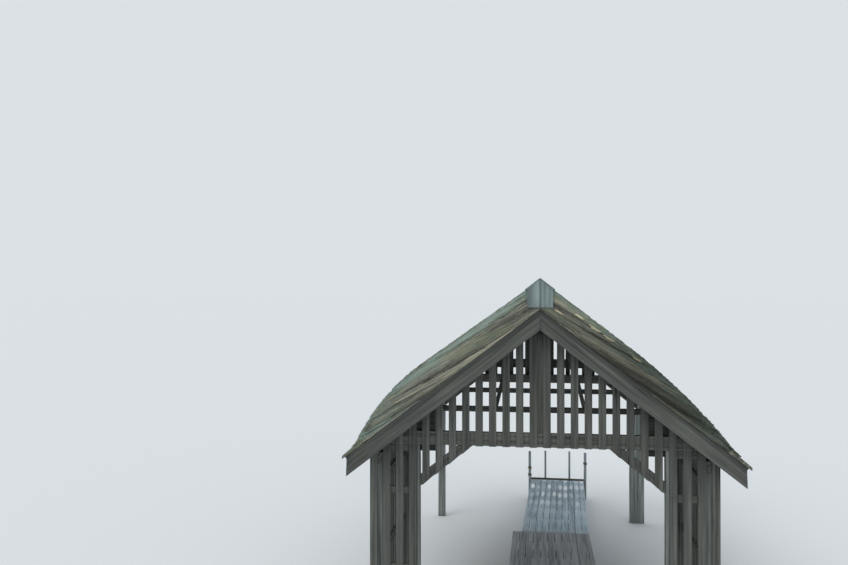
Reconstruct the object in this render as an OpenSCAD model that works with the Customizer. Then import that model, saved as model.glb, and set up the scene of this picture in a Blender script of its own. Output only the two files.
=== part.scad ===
// Thatched lakeside boathouse with slatted gables and an inner landing stage.
// Millimetres. X runs across the building, Y from the land gable towards the lake,
// Z up from the water line that every post and pile stands on.
// Modules draw the building from the middle of its land front. It is then moved along Y,
// so that the origin is under the middle of the whole box, on the water line.

/* [Building] */
// Outer width of the slatted front, over the side boards
wall_w = 4154; // [3600:2:4800]
// Distance from the front of the land frame to the back of the lake frame
frame_len = 6900; // [6000:50:8400]
// Height of the meeting point of the rafter undersides
under_apex = 4167; // [3900:1:4500]
// Slope of the roof in degrees
pitch = 37.5; // [34:0.5:41]
// Square size of the outer posts
post_size = 140; // [110:5:170]
// Depth of the plates that lie on the outer posts
plate_h = 140; // [100:5:180]
// Depth of the seat cut that drops the rafters on the plates
seat_cut = 45; // [30:1:60]

/* [Land front] */
// Clear width of the opening between the jamb posts
open_w = 2918; // [2600:2:3100]
// Width of the flat head of the opening
head_w = 1630; // [1300:10:1900]
// Height of the opening at its flat head
head_z = 2743; // [2690:1:2800]
// Height where the sloping corners of the opening start
corner_z = 2230; // [2000:10:2350]
// Width of the jamb posts
jamb_w = 120; // [90:5:150]
// Thickness of the knee brace under each sloping corner
brace_t = 110; // [70:5:150]
// Slat, counted from the middle, behind which the corner boards start
corner_slat = 8; // [7:1:9]

/* [Slats] */
// Distance from slat to slat
slat_pitch = 162.5; // [150:0.5:180]
// Width of one slat
slat_w = 91; // [70:1:110]
// Thickness of one slat
slat_t = 25; // [18:1:35]
// Number of slats on each half of the gable
slats_half = 13; // [10:1:13]
// Height of the lower ends of the wall slats
slat_foot_z = 150; // [60:10:400]
// Depth of the rails behind the wall slats
rail_h = 90; // [60:5:130]
// Thickness of the rails behind the wall slats
rail_t = 40; // [25:1:50]

/* [Roof frame] */
// Width of the rafters, gable ties and king posts
rafter_w = 90; // [70:5:110]
// Depth of the rafters, square to the slope
rafter_d = 155; // [130:5:180]
// Number of rafter pairs
rafter_pairs = 10; // [7:3:13]
// Thickness of the ridge beam between the rafter heads
ridge_w = 50; // [35:5:80]
// Depth of the tie beams in the two gables
tie_h = 168; // [140:2:200]
// Width of the king posts
king_w = 120; // [90:5:150]
// Depth of the thin ties of the two inner frames
inner_tie_h = 85; // [60:5:110]
// Height of the top of the thin ties
inner_tie_z = 2900; // [2860:5:2950]
// Thickness of the leaning struts on the thin ties
strut_t = 60; // [45:5:80]
// Distance of the strut feet from the middle
strut_foot_x = 643; // [550:1:750]
// Lean of the struts in degrees
strut_lean = 13.6; // [8:0.1:18]
// Height of the foot of the lake gable braces on their posts
lake_brace_z = 2250; // [2100:10:2350]
// Height of the rail across the lake gable, at its lower edge
lake_rail_z = 3035; // [2990:5:3100]
// Depth of the rail across the lake gable
lake_rail_h = 183; // [120:1:200]
// Width of the plank that doubles the right lake post
plank_w = 150; // [100:5:180]
// Thickness of the plank that doubles the right lake post
plank_t = 50; // [30:5:60]

/* [Roof covering] */
// Horizontal distance from the middle to the eave edge
eave_half = 2355; // [2280:5:2500]
// Reach of the thatch past the gable frames
verge = 350; // [250:10:450]
// Thickness of the battens
batten_t = 40; // [25:1:50]
// Width of the battens
batten_w = 50; // [40:1:70]
// Number of battens on each slope
batten_count = 10; // [8:1:13]
// Thickness of the eave board on the lowest battens
eave_board_t = 33; // [20:1:40]
// Width of the eave board, measured down the slope
eave_board_w = 330; // [250:10:420]
// Thickness of the thatch, square to the slope
thatch_t = 270; // [220:5:320]
// Length of thatch above the left eave that has worn thin
worn_len_left = 1150; // [900:10:1500]
// Length of thatch above the right eave that has worn thin
worn_len_right = 1700; // [1200:10:1900]
// Extra thickness of the left slope where its wear starts
swell_left = 60; // [10:5:70]
// Thickness left at the lower end of the thatch
nose_t = 48; // [40:1:70]
// Length of eave board left bare below the thatch
bare_len = 215; // [120:5:240]
// Radius of the rolled edge of the thatch along the verges
verge_roll = 100; // [50:5:150]
// Width of the boards that cap the ridge
cap_w = 210; // [150:5:300]
// Thickness of the boards that cap the ridge
cap_t = 20; // [15:1:30]
// Width of the small board that closes each end of the ridge
cap_end_w = 300; // [200:10:360]
// Height of that small board below the top of the thatch
cap_end_h = 320; // [150:5:350]
// Thickness of the barge boards under the thatch
barge_t = 28; // [20:1:40]
// Distance that the barge boards stand back from the thatch edge
barge_back = 50; // [20:5:80]

/* [Landing stage] */
// Height of the walking surface
deck_z = 400; // [300:10:600]
// Thickness of the deck boards
deck_t = 30; // [22:1:40]
// Gap between deck boards
deck_gap = 6; // [4:1:15]
// Boards across the inner deck
inner_boards = 11; // [8:1:13]
// Boards across the outer deck
outer_boards = 10; // [8:1:13]
// Width of the inner deck
inner_w = 1315; // [1000:5:1500]
// Width of the outer deck
outer_w = 1150; // [900:5:1400]
// Distance from the building axis to the middle of the inner deck
inner_x = 192; // [0:1:300]
// Distance from the building axis to the landward middle of the outer deck
outer_x = 265; // [0:1:300]
// Length of the inner deck
inner_len = 4550; // [3800:10:5200]
// Length of the outer deck
outer_len = 4040; // [3300:10:4600]
// Turn of the outer deck in degrees
outer_turn = 1.84; // [0:0.02:3]
// Depth of the bearers under the deck
bearer_h = 110; // [80:5:140]
// Width of the bearers under the deck
bearer_w = 90; // [70:5:120]
// Bearers under the inner deck
inner_bearers = 6; // [5:1:8]
// Bearers under the outer deck
outer_bearers = 6; // [5:1:8]
// Diameter of the piles
pile_d = 110; // [80:5:150]
// Distance of the pile centres from the bearer ends
pile_inset = 175; // [80:5:250]
// Width of the kerb across the lake end of the outer deck
kerb_w = 60; // [40:5:90]
// Height of the kerb above the deck
kerb_h = 35; // [20:1:60]

/* [Mooring posts and ladder] */
// Height of the mooring posts and ladder rails above the deck
rail_up = 625; // [400:5:900]
// Diameter of the mooring posts
mooring_d = 60; // [50:1:100]
// Distance between the ladder rails, middle to middle
ladder_w = 526; // [400:2:650]
// Square size of the ladder rails
ladder_t = 45; // [30:1:60]
// Height from rung to rung
rung_gap = 170; // [130:5:220]
// Height of the lowest rung
rung_z = 50; // [20:5:100]
// Thickness of the rungs
rung_t = 28; // [20:1:40]

/* [Hidden] */
$fn = 32;

// Running clearance between a round post and the flat timber beside it
round_gap = 0.3;
// Clearance between the two decks, and of side slats under the rafters
deck_joint = 24;
slat_clear = 6;
// Points on each curved stretch of an outline
arc_steps = 10;
// Half widths across the building
half_w = wall_w / 2;
post_out = half_w - slat_t;
post_in = post_out - post_size;
jamb_in = open_w / 2;
jamb_out = jamb_in + jamb_w;
// Levels square to the slope, measured from the rafter undersides
batten_n = rafter_d + batten_t;
board_n = batten_n + eave_board_t;
thatch_n = batten_n + thatch_t;
cap_n = thatch_n + cap_t;
cap_s = down(0, thatch_n) + cap_w;
// Heights of the plates and of the tie tops
plate_top = level(post_out, 0) + seat_cut;
plate_z = plate_top - plate_h;
tie_top = head_z + tie_h;
// Places of the frames along the building
rafter_step = (frame_len - rafter_w) / (rafter_pairs - 1);
middle_index = (rafter_pairs - 1) / 3;
middle_y = rafter_w / 2 + middle_index * rafter_step;
rear_y = rafter_w / 2 + 2 * middle_index * rafter_step;
post_ys = [0, middle_y - post_size / 2, frame_len - post_size];
// Distances down the slope, from the meeting point of the rafter undersides
tail_x = eave_half - eave_board_t - 12;
eave_s = down(eave_half, batten_n);
board_s = eave_s - eave_board_w;
nose_s = eave_s - bare_len;
batten_first = 30;
batten_last = down(tail_x, rafter_d) - batten_w;
// Battens lie evenly from the ridge to the upper edge of the eave board, and one on the rafter tails
batten_step = (board_s - batten_first) / (batten_count - 2);
batten_ss = concat([for (i = [0 : batten_count - 2]) batten_first + i * batten_step], [batten_last]);
// Rails behind the slats, from the foot to the head of the wall
rail_zs = [slat_foot_z + rail_h, (slat_foot_z + corner_z) / 2, corner_z - rail_h];
// Slats over the side panels start at the first one that stands on a jamb post
panel_first = ceil((jamb_in - slat_pitch / 2) / slat_pitch);
// Lower edge of the head rails and corner boards, and inner edge of the corner boards
rail_head_z = head_z - rail_h;
corner_in = (corner_slat - 0.5) * slat_pitch - slat_w / 4;
side_slats = floor((post_ys[1] + post_size - slat_w) / slat_pitch) + 1;
// Levels of the landing stage
bearer_z = deck_z - deck_t - bearer_h;
rail_top = deck_z + rail_up;
rung_count = floor((bearer_z - rung_z) / rung_gap) + 1;
// Near edges and widths of the bearers, measured along each deck
inner_bearer_step = (inner_len - bearer_w) / (inner_bearers - 1);
inner_bearer_ys = [for (i = [0 : inner_bearers - 1]) i * inner_bearer_step];
inner_bearer_ws = [for (i = [1 : inner_bearers]) i < inner_bearers ? bearer_w : 2 * bearer_w];
outer_bearer_ys = [for (i = [1 : outer_bearers]) i * (outer_len - bearer_w) / outer_bearers];
// Ends of the whole box along the building, and the middle between them
near_y = -verge - cap_t;
far_y = inner_len + (outer_len + ladder_t * 2) * cos(outer_turn) + ladder_w / 2 * sin(outer_turn);
box_mid_y = (near_y + far_y) / 2;

// Height of a level plane of the roof above a place x across the building
function level(x, n) = under_apex - x * tan(pitch) + n / cos(pitch);
// Distance down the slope of the place x on the level n
function down(x, n) = (x - n * sin(pitch)) / cos(pitch);
// Outline point at the place x on the level n
function at_x(x, n) = [x, level(x, n)];
// Outline point at the distance s down the slope on the level n
function at_s(s, n) = [s * cos(pitch) + n * sin(pitch), under_apex - s * sin(pitch) + n * cos(pitch)];
// Place across the building where the level n of the roof is at the height z
function reach(z, n) = (under_apex + n / cos(pitch) - z) / tan(pitch);

// Extrudes an outline drawn in X and Z from y0 to y1
module along_y(y0, y1) {
    translate([0, y1, 0]) rotate([90, 0, 0]) linear_extrude(height = y1 - y0) children();
}

// Extrudes an outline drawn in Y and in height above the slope down the right slope
module down_slope(s0, s1) {
    translate([0, 0, under_apex]) rotate([0, pitch, 0]) rotate([90, 0, 90])
        translate([0, 0, s0]) linear_extrude(height = s1 - s0) children();
}

// Moves a piece from the drawing place to the part's own origin
module placed() {
    translate([0, -box_mid_y, 0]) children();
}

// Keeps a piece on the right, or mirrors it to the left
module side(right) {
    if (right) children();
    else mirror([1, 0, 0]) children();
}

// Posts and plates

module post(index, right) {
    color("#4a443a") side(right)
        translate([post_in, post_ys[index], 0]) cube([post_size, post_size, plate_z]);
}

// The right lake post, doubled by a plank up to the foot of its knee brace
module doubled_post() {
    post(2, true);
    color("#4a443a") translate([post_in - plank_w, post_ys[2], 0])
        cube([plank_w, plank_t, lake_brace_z]);
}

module jamb_post(right) {
    color("#474136") side(right)
        translate([jamb_in, 0, 0]) cube([jamb_w, jamb_w, head_z]);
}

module plate_solid() {
    translate([post_in, 0, plate_z]) cube([post_size, frame_len, plate_h]);
}

module wall_plate(right) {
    color("#453f35") side(right) plate_solid();
}

// Roof frame

module ridge_beam() {
    beam_x = ridge_w / 2;
    color("#453f35") translate([-beam_x, 0, level(beam_x, 0)])
        cube([ridge_w, frame_len, rafter_d / cos(pitch)]);
}

// Tie beam whose ends are cut to the rafter undersides
module tie(z0, z1, y0, y1) {
    along_y(y0, y1) polygon([[-reach(z0, 0), z0], [reach(z0, 0), z0],
        [reach(z1, 0), z1], [-reach(z1, 0), z1]]);
}

module tie_beam(y0) {
    color("#403b31") tie(head_z, tie_top, y0, y0 + rafter_w);
}

// King post that stands on the tie and meets the rafters and the ridge beam
module king_post(y0) {
    beam_x = ridge_w / 2;
    post_x = king_w / 2;
    color("#443e34") along_y(y0, y0 + rafter_w) polygon([[-post_x, tie_top], [post_x, tie_top],
        at_x(post_x, 0), at_x(beam_x, 0), [-beam_x, level(beam_x, 0)], [-post_x, level(post_x, 0)]]);
}

// Leaning strut from the thin tie to the rafter underside
module strut(y) {
    lean = tan(strut_lean);
    half_t = strut_t / 2 / cos(strut_lean);
    run = function(x) (level(x, 0) - inner_tie_z) / (1 - lean * tan(pitch));
    inner_up = run(strut_foot_x - half_t);
    outer_up = run(strut_foot_x + half_t);
    along_y(y - strut_t / 2, y + strut_t / 2) polygon([
        [strut_foot_x - half_t, inner_tie_z], [strut_foot_x + half_t, inner_tie_z],
        [strut_foot_x + half_t - outer_up * lean, inner_tie_z + outer_up],
        [strut_foot_x - half_t - inner_up * lean, inner_tie_z + inner_up]]);
}

module roof_frame(y) {
    color("#3f3a31") union() {
        tie(inner_tie_z - inner_tie_h, inner_tie_z, y - strut_t / 2, y + strut_t / 2);
        for (right = [true, false]) side(right) strut(y);
    }
}

// One rafter with a plumb tail and a seat over the plate
module rafters(right) {
    beam_x = ridge_w / 2;
    color("#4b4539") side(right) difference() {
        for (i = [0 : rafter_pairs - 1])
            along_y(i * rafter_step, i * rafter_step + rafter_w) polygon([at_x(beam_x, 0),
                at_x(tail_x, 0), at_x(tail_x, rafter_d), at_x(beam_x, rafter_d)]);
        plate_solid();
    }
}

// Battens, with the eave board let down over the two lowest of them
module battens(right) {
    batten_y = verge - barge_back - barge_t;
    let_in_n = (batten_n + board_n) / 2;
    color("#564e40") side(right) union() {
        for (i = [0 : batten_count - 1]) {
            s = batten_ss[i];
            top_n = i < batten_count - 2 ? batten_n : let_in_n;
            along_y(-batten_y, frame_len + batten_y) polygon([at_s(s, rafter_d),
                at_s(s + batten_w, rafter_d), at_s(s + batten_w, top_n), at_s(s, top_n)]);
        }
        along_y(-verge, frame_len + verge) polygon([at_s(board_s, batten_n),
            at_x(eave_half, batten_n), at_x(eave_half, board_n), at_s(board_s, board_n)]);
    }
}

// Roof covering

// Section of the thatch: it swells a little from the ridge boards down, and one arc that leaves
// the surface level wears it thin above the eave
module thatch_section(worn_len, swell) {
    full_n = thatch_n + swell;
    worn_s = nose_s - worn_len;
    worn_drop = thatch_t + swell - nose_t;
    worn_r = (pow(worn_len, 2) + pow(worn_drop, 2)) / (2 * worn_drop);
    worn_a = asin(worn_len / worn_r);
    worn = [for (i = [0 : arc_steps]) let (a = worn_a * i / arc_steps)
        at_s(worn_s + worn_r * sin(a), full_n - worn_r * (1 - cos(a)))];
    polygon(concat([at_x(0, batten_n), at_s(board_s, batten_n), at_s(board_s, board_n),
        at_s(nose_s, board_n)], [for (i = [0 : arc_steps]) worn[arc_steps - i]],
        [at_s(cap_s, thatch_n), at_x(0, thatch_n)]));
}

// Outline of the thatch across the slope, with its top edges rolled over the verges
module thatch_roll(full_n) {
    y0 = -verge;
    y1 = frame_len + verge;
    roll = [for (i = [0 : arc_steps]) let (a = 90 * i / arc_steps)
        [verge_roll * (1 - cos(a)), verge_roll * (1 - sin(a))]];
    polygon(concat([[y0, batten_n - 1], [y1, batten_n - 1]],
        [for (p = roll) [y1 - p[0], full_n - p[1]]],
        [for (i = [0 : arc_steps]) let (p = roll[arc_steps - i]) [y0 + p[0], full_n - p[1]]]));
}

module thatch(right) {
    worn_len = right ? worn_len_right : worn_len_left;
    swell = right ? 0 : swell_left;
    color("#6f6a4c") side(right) intersection() {
        along_y(-verge, frame_len + verge) thatch_section(worn_len, swell);
        down_slope(down(0, cap_n), eave_s) thatch_roll(thatch_n + swell);
    }
}

// Ridge boards on both slopes, with a small board that closes each end
module ridge_cap() {
    end_x = cap_end_w / 2;
    end_z = level(0, thatch_n) - cap_end_h;
    mid_n = (thatch_n + cap_n) / 2;
    color("#9aa0a3") union() {
        for (right = [true, false]) side(right)
            along_y(-verge - cap_t, frame_len + verge + cap_t)
                polygon([at_x(0, thatch_n), at_s(cap_s, thatch_n), at_s(cap_s, cap_n), at_x(0, cap_n)]);
        for (y0 = [-verge - cap_t, frame_len + verge])
            along_y(y0, y0 + cap_t) polygon([[-end_x, end_z], [end_x, end_z],
                at_x(end_x, mid_n), at_x(0, mid_n), [-end_x, level(end_x, mid_n)]]);
    }
}

module barge_board(right, y0) {
    color("#39352d") side(right) along_y(y0, y0 + barge_t) polygon([at_x(0, 0),
        at_x(tail_x, 0), at_x(tail_x, batten_n), at_x(0, batten_n)]);
}

// Slatted walls

// Slats of one half, from number i0 to i1, that fill the outline given as a child
module slats_in(i0, i1, y0) {
    intersection() {
        for (i = [i0 : i1]) translate([(i + 0.5) * slat_pitch - slat_w / 2, y0, 0])
            cube([slat_w, slat_t, under_apex + rafter_d * 2]);
        along_y(y0, y0 + slat_t) children();
    }
}

module gable_outline() {
    polygon([[0, head_z], [half_w, head_z], at_x(half_w, rafter_d), at_x(0, rafter_d)]);
}

module gable_lattice_front() {
    color("#4c463b") for (right = [true, false]) side(right)
        slats_in(0, slats_half - 1, -slat_t) gable_outline();
}

module gable_lattice_back() {
    color("#4c463b") union() {
        for (right = [true, false]) side(right)
            slats_in(0, slats_half - 1, frame_len) gable_outline();
        rail_end = reach(lake_rail_z + lake_rail_h, rafter_d);
        translate([-rail_end, frame_len + slat_t, lake_rail_z])
            cube([2 * rail_end, slat_t, lake_rail_h]);
    }
}

module front_panel(right) {
    color("#484237") side(right) union() {
        slats_in(panel_first, slats_half - 1, -slat_t)
            polygon([[jamb_in, slat_foot_z], [half_w, slat_foot_z], [half_w, head_z], [jamb_in, head_z]]);
        for (z = concat(rail_zs, rail_head_z))
            translate([jamb_out, 0, z]) cube([post_in - jamb_out, rail_t, rail_h]);
    }
}

// Sloping corner of the opening: a knee brace with the slats nailed to it, and the board that
// closes the corner behind the brace, the tie and the rafter
module front_spandrel(right) {
    head_x = head_w / 2;
    rise = atan((head_z - corner_z) / (jamb_in - head_x));
    corner_n = rafter_d / 2;
    corner_out = min(post_in, reach(head_z, corner_n));
    color("#423d33") side(right) union() {
        slats_in(floor(head_x / slat_pitch), panel_first - 1, -slat_t)
            polygon([[head_x, head_z], [jamb_in, corner_z], [jamb_in, head_z]]);
        along_y(0, rafter_w) polygon([[head_x, head_z], [jamb_in, corner_z],
            [jamb_in, corner_z + brace_t / cos(rise)], [head_x + brace_t / sin(rise), head_z]]);
        along_y(rafter_w, rafter_w + slat_t) polygon([[corner_in, rail_head_z], [jamb_in, rail_head_z],
            [jamb_in, head_z], [corner_out, head_z], at_x(corner_out, corner_n),
            at_x(corner_in, corner_n)]);
    }
}

module knee_brace_back(right) {
    rise = atan((head_z - corner_z) / (jamb_in - head_w / 2));
    run = (head_z - lake_brace_z) / tan(rise);
    color("#423d33") side(right) along_y(frame_len - rafter_w, frame_len)
        polygon([[post_in - run, head_z], [post_in, lake_brace_z],
            [post_in, lake_brace_z + brace_t / cos(rise)],
            [post_in - run + brace_t / sin(rise), head_z]]);
}

// Slats and rails on the side of the land bay
module side_screen(right) {
    slat_top = level(half_w, 0) - slat_clear;
    color("#484237") side(right) union() {
        for (i = [0 : side_slats - 1]) translate([post_out, i * slat_pitch, slat_foot_z])
            cube([slat_t, slat_w, slat_top - slat_foot_z]);
        for (z = rail_zs) translate([post_out - rail_t, post_size, z])
            cube([rail_t, post_ys[1] - post_size, rail_h]);
    }
}

// Landing stage

// Boards laid side by side along Y, centred on X
module deck_boards(width, length, count) {
    board_w = (width - (count - 1) * deck_gap) / count;
    for (i = [0 : count - 1])
        translate([-width / 2 + i * (board_w + deck_gap), 0, deck_z - deck_t])
            cube([board_w, length, deck_t]);
}

// A bearer across the whole width of a deck
module bearer(width, y0, depth) {
    translate([-width / 2, y0, bearer_z]) cube([width, depth, bearer_h]);
}

// Two piles under the middle line of a bearer
module pile_pair(width, y0, depth) {
    for (x = [-1, 1]) translate([x * (width / 2 - pile_inset), y0 + depth / 2, 0])
        cylinder(d = pile_d, h = bearer_z);
}

module place_outer() {
    translate([outer_x, inner_len, 0]) rotate([0, 0, -outer_turn]) children();
}

module jetty_deck_inner() {
    color("#7c7a76") translate([inner_x, 0, 0]) deck_boards(inner_w, inner_len, inner_boards);
}

module jetty_deck_outer() {
    color("#8f9092") place_outer() translate([0, deck_joint, 0])
        deck_boards(outer_w, outer_len - deck_joint, outer_boards);
}

// The first bearer is a threshold between the jamb posts, and the last inner one carries both
// decks. A kerb lies across the lake end.
module jetty_bearers() {
    color("#5a544a") {
        translate([-jamb_in, 0, bearer_z]) cube([2 * jamb_in, bearer_w, bearer_h]);
        translate([inner_x, 0, 0]) for (i = [1 : inner_bearers - 1])
            bearer(inner_w, inner_bearer_ys[i], inner_bearer_ws[i]);
        place_outer() for (y0 = outer_bearer_ys) bearer(outer_w, y0, bearer_w);
        place_outer() translate([-outer_w / 2, outer_len - kerb_w, deck_z]) cube([outer_w, kerb_w, kerb_h]);
    }
}

module jetty_piles() {
    color("#4d483f") {
        translate([inner_x, 0, 0]) for (i = [0 : inner_bearers - 1])
            pile_pair(inner_w, inner_bearer_ys[i], inner_bearer_ws[i]);
        place_outer() for (y0 = outer_bearer_ys) pile_pair(outer_w, y0, bearer_w);
    }
}

module mooring_post(right) {
    post_x = outer_w / 2 + mooring_d / 2 + round_gap;
    color("#575046") place_outer()
        translate([right ? post_x : -post_x, outer_len - bearer_w / 2, 0])
            cylinder(d = mooring_d, h = rail_top);
}

module ladder() {
    color("#6b665c") place_outer() translate([0, outer_len, 0]) union() {
        for (x = [-1, 1]) translate([(x * ladder_w - ladder_t) / 2, 0, 0])
            cube([ladder_t, ladder_t, rail_top]);
        for (i = [0 : rung_count - 1])
            translate([-ladder_w / 2, 0, rung_z + i * rung_gap])
                cube([ladder_w, ladder_t * 2, rung_t]);
    }
}

placed() post(0, false);  // post_front_left
placed() post(0, true);  // post_front_right
placed() post(1, false);  // post_middle_left
placed() post(1, true);  // post_middle_right
placed() post(2, false);  // post_back_left
placed() doubled_post();  // post_back_right
placed() jamb_post(false);  // jamb_post_left
placed() jamb_post(true);  // jamb_post_right
placed() wall_plate(false);  // wall_plate_left
placed() wall_plate(true);  // wall_plate_right
placed() ridge_beam();
placed() tie_beam(0);  // tie_beam_front
placed() tie_beam(frame_len - rafter_w);  // tie_beam_back
placed() roof_frame(middle_y);  // roof_frame_middle
placed() roof_frame(rear_y);  // roof_frame_rear
placed() king_post(0);  // king_post_front
placed() king_post(frame_len - rafter_w);  // king_post_back
placed() rafters(false);  // rafters_left
placed() rafters(true);  // rafters_right
placed() battens(false);  // battens_left
placed() battens(true);  // battens_right
placed() thatch(false);  // thatch_left
placed() thatch(true);  // thatch_right
placed() ridge_cap();
placed() barge_board(false, barge_back - verge);  // barge_board_front_left
placed() barge_board(true, barge_back - verge);  // barge_board_front_right
placed()  // barge_board_back_left
    barge_board(false, frame_len + verge - barge_back - barge_t);
placed()  // barge_board_back_right
    barge_board(true, frame_len + verge - barge_back - barge_t);
placed() gable_lattice_front();
placed() gable_lattice_back();
placed() front_panel(false);  // front_panel_left
placed() front_panel(true);  // front_panel_right
placed() front_spandrel(false);  // front_spandrel_left
placed() front_spandrel(true);  // front_spandrel_right
placed() knee_brace_back(false);  // knee_brace_back_left
placed() knee_brace_back(true);  // knee_brace_back_right
placed() side_screen(false);  // side_screen_left
placed() side_screen(true);  // side_screen_right
placed() jetty_deck_inner();
placed() jetty_deck_outer();
placed() jetty_bearers();
placed() jetty_piles();
placed() mooring_post(false);  // mooring_post_left
placed() mooring_post(true);  // mooring_post_right
placed() ladder();
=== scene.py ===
# Thatched boathouse on posts: weathered timber, an old reed roof and a plank landing stage.
# Metres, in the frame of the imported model. Y runs from the front gable to the back gable.
import bpy
import functools
import itertools
import math
import numpy as np
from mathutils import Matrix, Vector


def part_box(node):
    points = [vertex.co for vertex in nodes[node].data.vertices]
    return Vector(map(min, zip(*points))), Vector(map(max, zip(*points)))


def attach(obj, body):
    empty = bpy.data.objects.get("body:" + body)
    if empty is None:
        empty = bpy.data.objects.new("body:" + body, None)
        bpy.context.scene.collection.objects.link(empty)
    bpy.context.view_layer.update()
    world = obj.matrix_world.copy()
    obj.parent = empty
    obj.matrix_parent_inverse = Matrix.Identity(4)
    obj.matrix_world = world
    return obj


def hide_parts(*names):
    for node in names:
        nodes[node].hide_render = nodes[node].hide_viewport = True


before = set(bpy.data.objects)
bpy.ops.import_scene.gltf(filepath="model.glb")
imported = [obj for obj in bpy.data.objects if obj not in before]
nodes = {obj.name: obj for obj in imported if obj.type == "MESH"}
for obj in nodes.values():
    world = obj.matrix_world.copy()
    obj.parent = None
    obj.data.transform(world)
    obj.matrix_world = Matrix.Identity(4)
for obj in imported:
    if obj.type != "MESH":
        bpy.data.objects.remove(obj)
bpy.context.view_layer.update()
print("frame loaded:", len(nodes), "nodes")

# Reading the frame
hair = 0.001   # points closer than this along an axis lie on one face


def cornersOf(node):
    # corner points of a node's triangles, as an array of X, Y and Z
    mesh = nodes[node].data
    flat = np.empty(len(mesh.vertices) * 3)
    mesh.vertices.foreach_get("co", flat)
    return np.round(flat.reshape(-1, 3), 5)


def pointsOf(node):
    # the different corner points of a node
    return np.unique(cornersOf(node), axis=0)


def boxOf(node):
    # lowest and highest corner of a node
    low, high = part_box(node)
    return np.array(low), np.array(high)


def levels(values):
    # the different values in an array, in order, with those closer than 0.2 mm taken as one
    ordered = np.sort(values)
    return ordered[np.concatenate([[True], np.diff(ordered) > 0.0002])]


def spans(values):
    # lower and upper face of each of the solids that stand side by side
    return levels(values).reshape(-1, 2)


def farthest(points, axis):
    # the points with the greatest value along an axis
    return points[points[:, axis] > points[:, axis].max() - hair]


def beyond(points, axis, place):
    # the points past a place along an axis
    return points[points[:, axis] > place + hair]


def solidsOf(node):
    # corner points of each separate solid of a node: every point takes the lowest number that
    # it is joined to by an edge, until nothing changes
    mesh = nodes[node].data
    points, inverse = np.unique(cornersOf(node), axis=0, return_inverse=True)
    edges = np.empty(len(mesh.edges) * 2, int)
    mesh.edges.foreach_get("vertices", edges)
    edges = inverse.ravel()[edges].reshape(-1, 2)
    label = np.arange(len(points))
    while True:
        lowest = np.minimum(label[edges[:, 0]], label[edges[:, 1]])
        fresh = label.copy()
        np.minimum.at(fresh, edges[:, 0], lowest)
        np.minimum.at(fresh, edges[:, 1], lowest)
        if (fresh == label).all():
            return [points[label == one] for one in np.unique(label)]
        label = fresh


# Main lines of the building. A place on the right slope is given by s, its distance down the
# slope, and n, its height square to the slope over the undersides of the rafters
acrossX, alongY, upZ = np.eye(3)
barge = pointsOf("barge_board_front_right")
ridgeEnd = barge[barge[:, 0] < hair]
tailEnd = farthest(barge, 0)
tailX = tailEnd[:, 0].max()
underApex = ridgeEnd[:, 2].min()
underRidge = np.array([0, 0, underApex])
pitch = math.atan2(ridgeEnd[:, 2].max() - tailEnd[:, 2].max(), tailX)
cosP, sinP = math.cos(pitch), math.sin(pitch)
downSlope = np.array([cosP, 0, -sinP])
offSlope = np.array([sinP, 0, cosP])
battenN = (ridgeEnd[:, 2].max() - underApex) * cosP
thatchLow, thatchHigh = boxOf("thatch_right")
thatchN = (thatchHigh[2] - underApex) * cosP
landY = boxOf("post_front_left")[0][1]
postLow, postHigh = boxOf("post_front_right")
jambLow, jambHigh = boxOf("jamb_post_right")


def level(x, n):
    # height of the plane n at the place x
    return underApex - x * math.tan(pitch) + n / cosP


def down(x, n):
    # distance down the slope of the place x on the plane n
    return (x - n * sinP) / cosP


def onSlope(s, n, y):
    # points of the right slope: X is s cos + n sin, and Z is the apex - s sin + n cos
    s, n, y = np.broadcast_arrays(s, n, y)
    return np.stack([s * cosP + n * sinP, y, underApex - s * sinP + n * cosP], axis=-1)


def slopeOf(points):
    # s and n of points, by the same formula backwards
    x, z = points[:, 0], points[:, 2] - underApex
    return x * cosP - z * sinP, x * sinP + z * cosP


# Directions and noise

def unit(vectors):
    # the same directions with length 1
    return vectors / np.linalg.norm(vectors, axis=-1, keepdims=True)


def anglesOf(sides):
    # angles of the points of a circle
    return np.linspace(0, 2 * np.pi, sides, endpoint=False)


def circleOf(sides, u, w):
    # u cos a + w sin a, for one pair of directions or for rows of them
    angle = anglesOf(sides)[:, None]
    return np.cos(angle) * u[..., None, :] + np.sin(angle) * w[..., None, :]


def smoothNoise(x, y, seed=0):
    # value noise from -1 to 1: random numbers on a square grid, joined by smooth steps
    x, y = np.broadcast_arrays(np.asarray(x, float), np.asarray(y, float))
    xi, yi = np.floor(x).astype(np.int64), np.floor(y).astype(np.int64)
    fx, fy = x - xi, y - yi
    fx, fy = fx * fx * (3 - 2 * fx), fy * fy * (3 - 2 * fy)

    def corner(i, j):
        # large primes scramble the corner's numbers, and the lowest 16 bits are kept
        h = (i * 374761393 + j * 668265263 + seed * 97463477) & 0xffffffff
        h = ((h ^ (h >> 13)) * 1274126177) & 0xffffffff
        return ((h ^ (h >> 16)) & 0xffff) / 32767.5 - 1

    near = corner(xi, yi) * (1 - fx) + corner(xi + 1, yi) * fx
    far = corner(xi, yi + 1) * (1 - fx) + corner(xi + 1, yi + 1) * fx
    return near * (1 - fy) + far * fy


def layered(x, y, waves, seed):
    # the sum of noises, each with its length along x, its length along y and its height
    return sum(height * smoothNoise(x / wide, y / long, seed + index)
               for index, (wide, long, height) in enumerate(waves))


# Putting meshes together

def tubeQuads(rows, columns):
    # faces of a tube whose points are stored ring by ring
    row = np.arange(rows - 1)[:, None] * columns
    column = np.arange(columns)[None, :]
    right = (column + 1) % columns
    return np.stack([row + column, row + right, row + columns + right, row + columns + column],
                    axis=-1).reshape(-1, 4)


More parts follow.
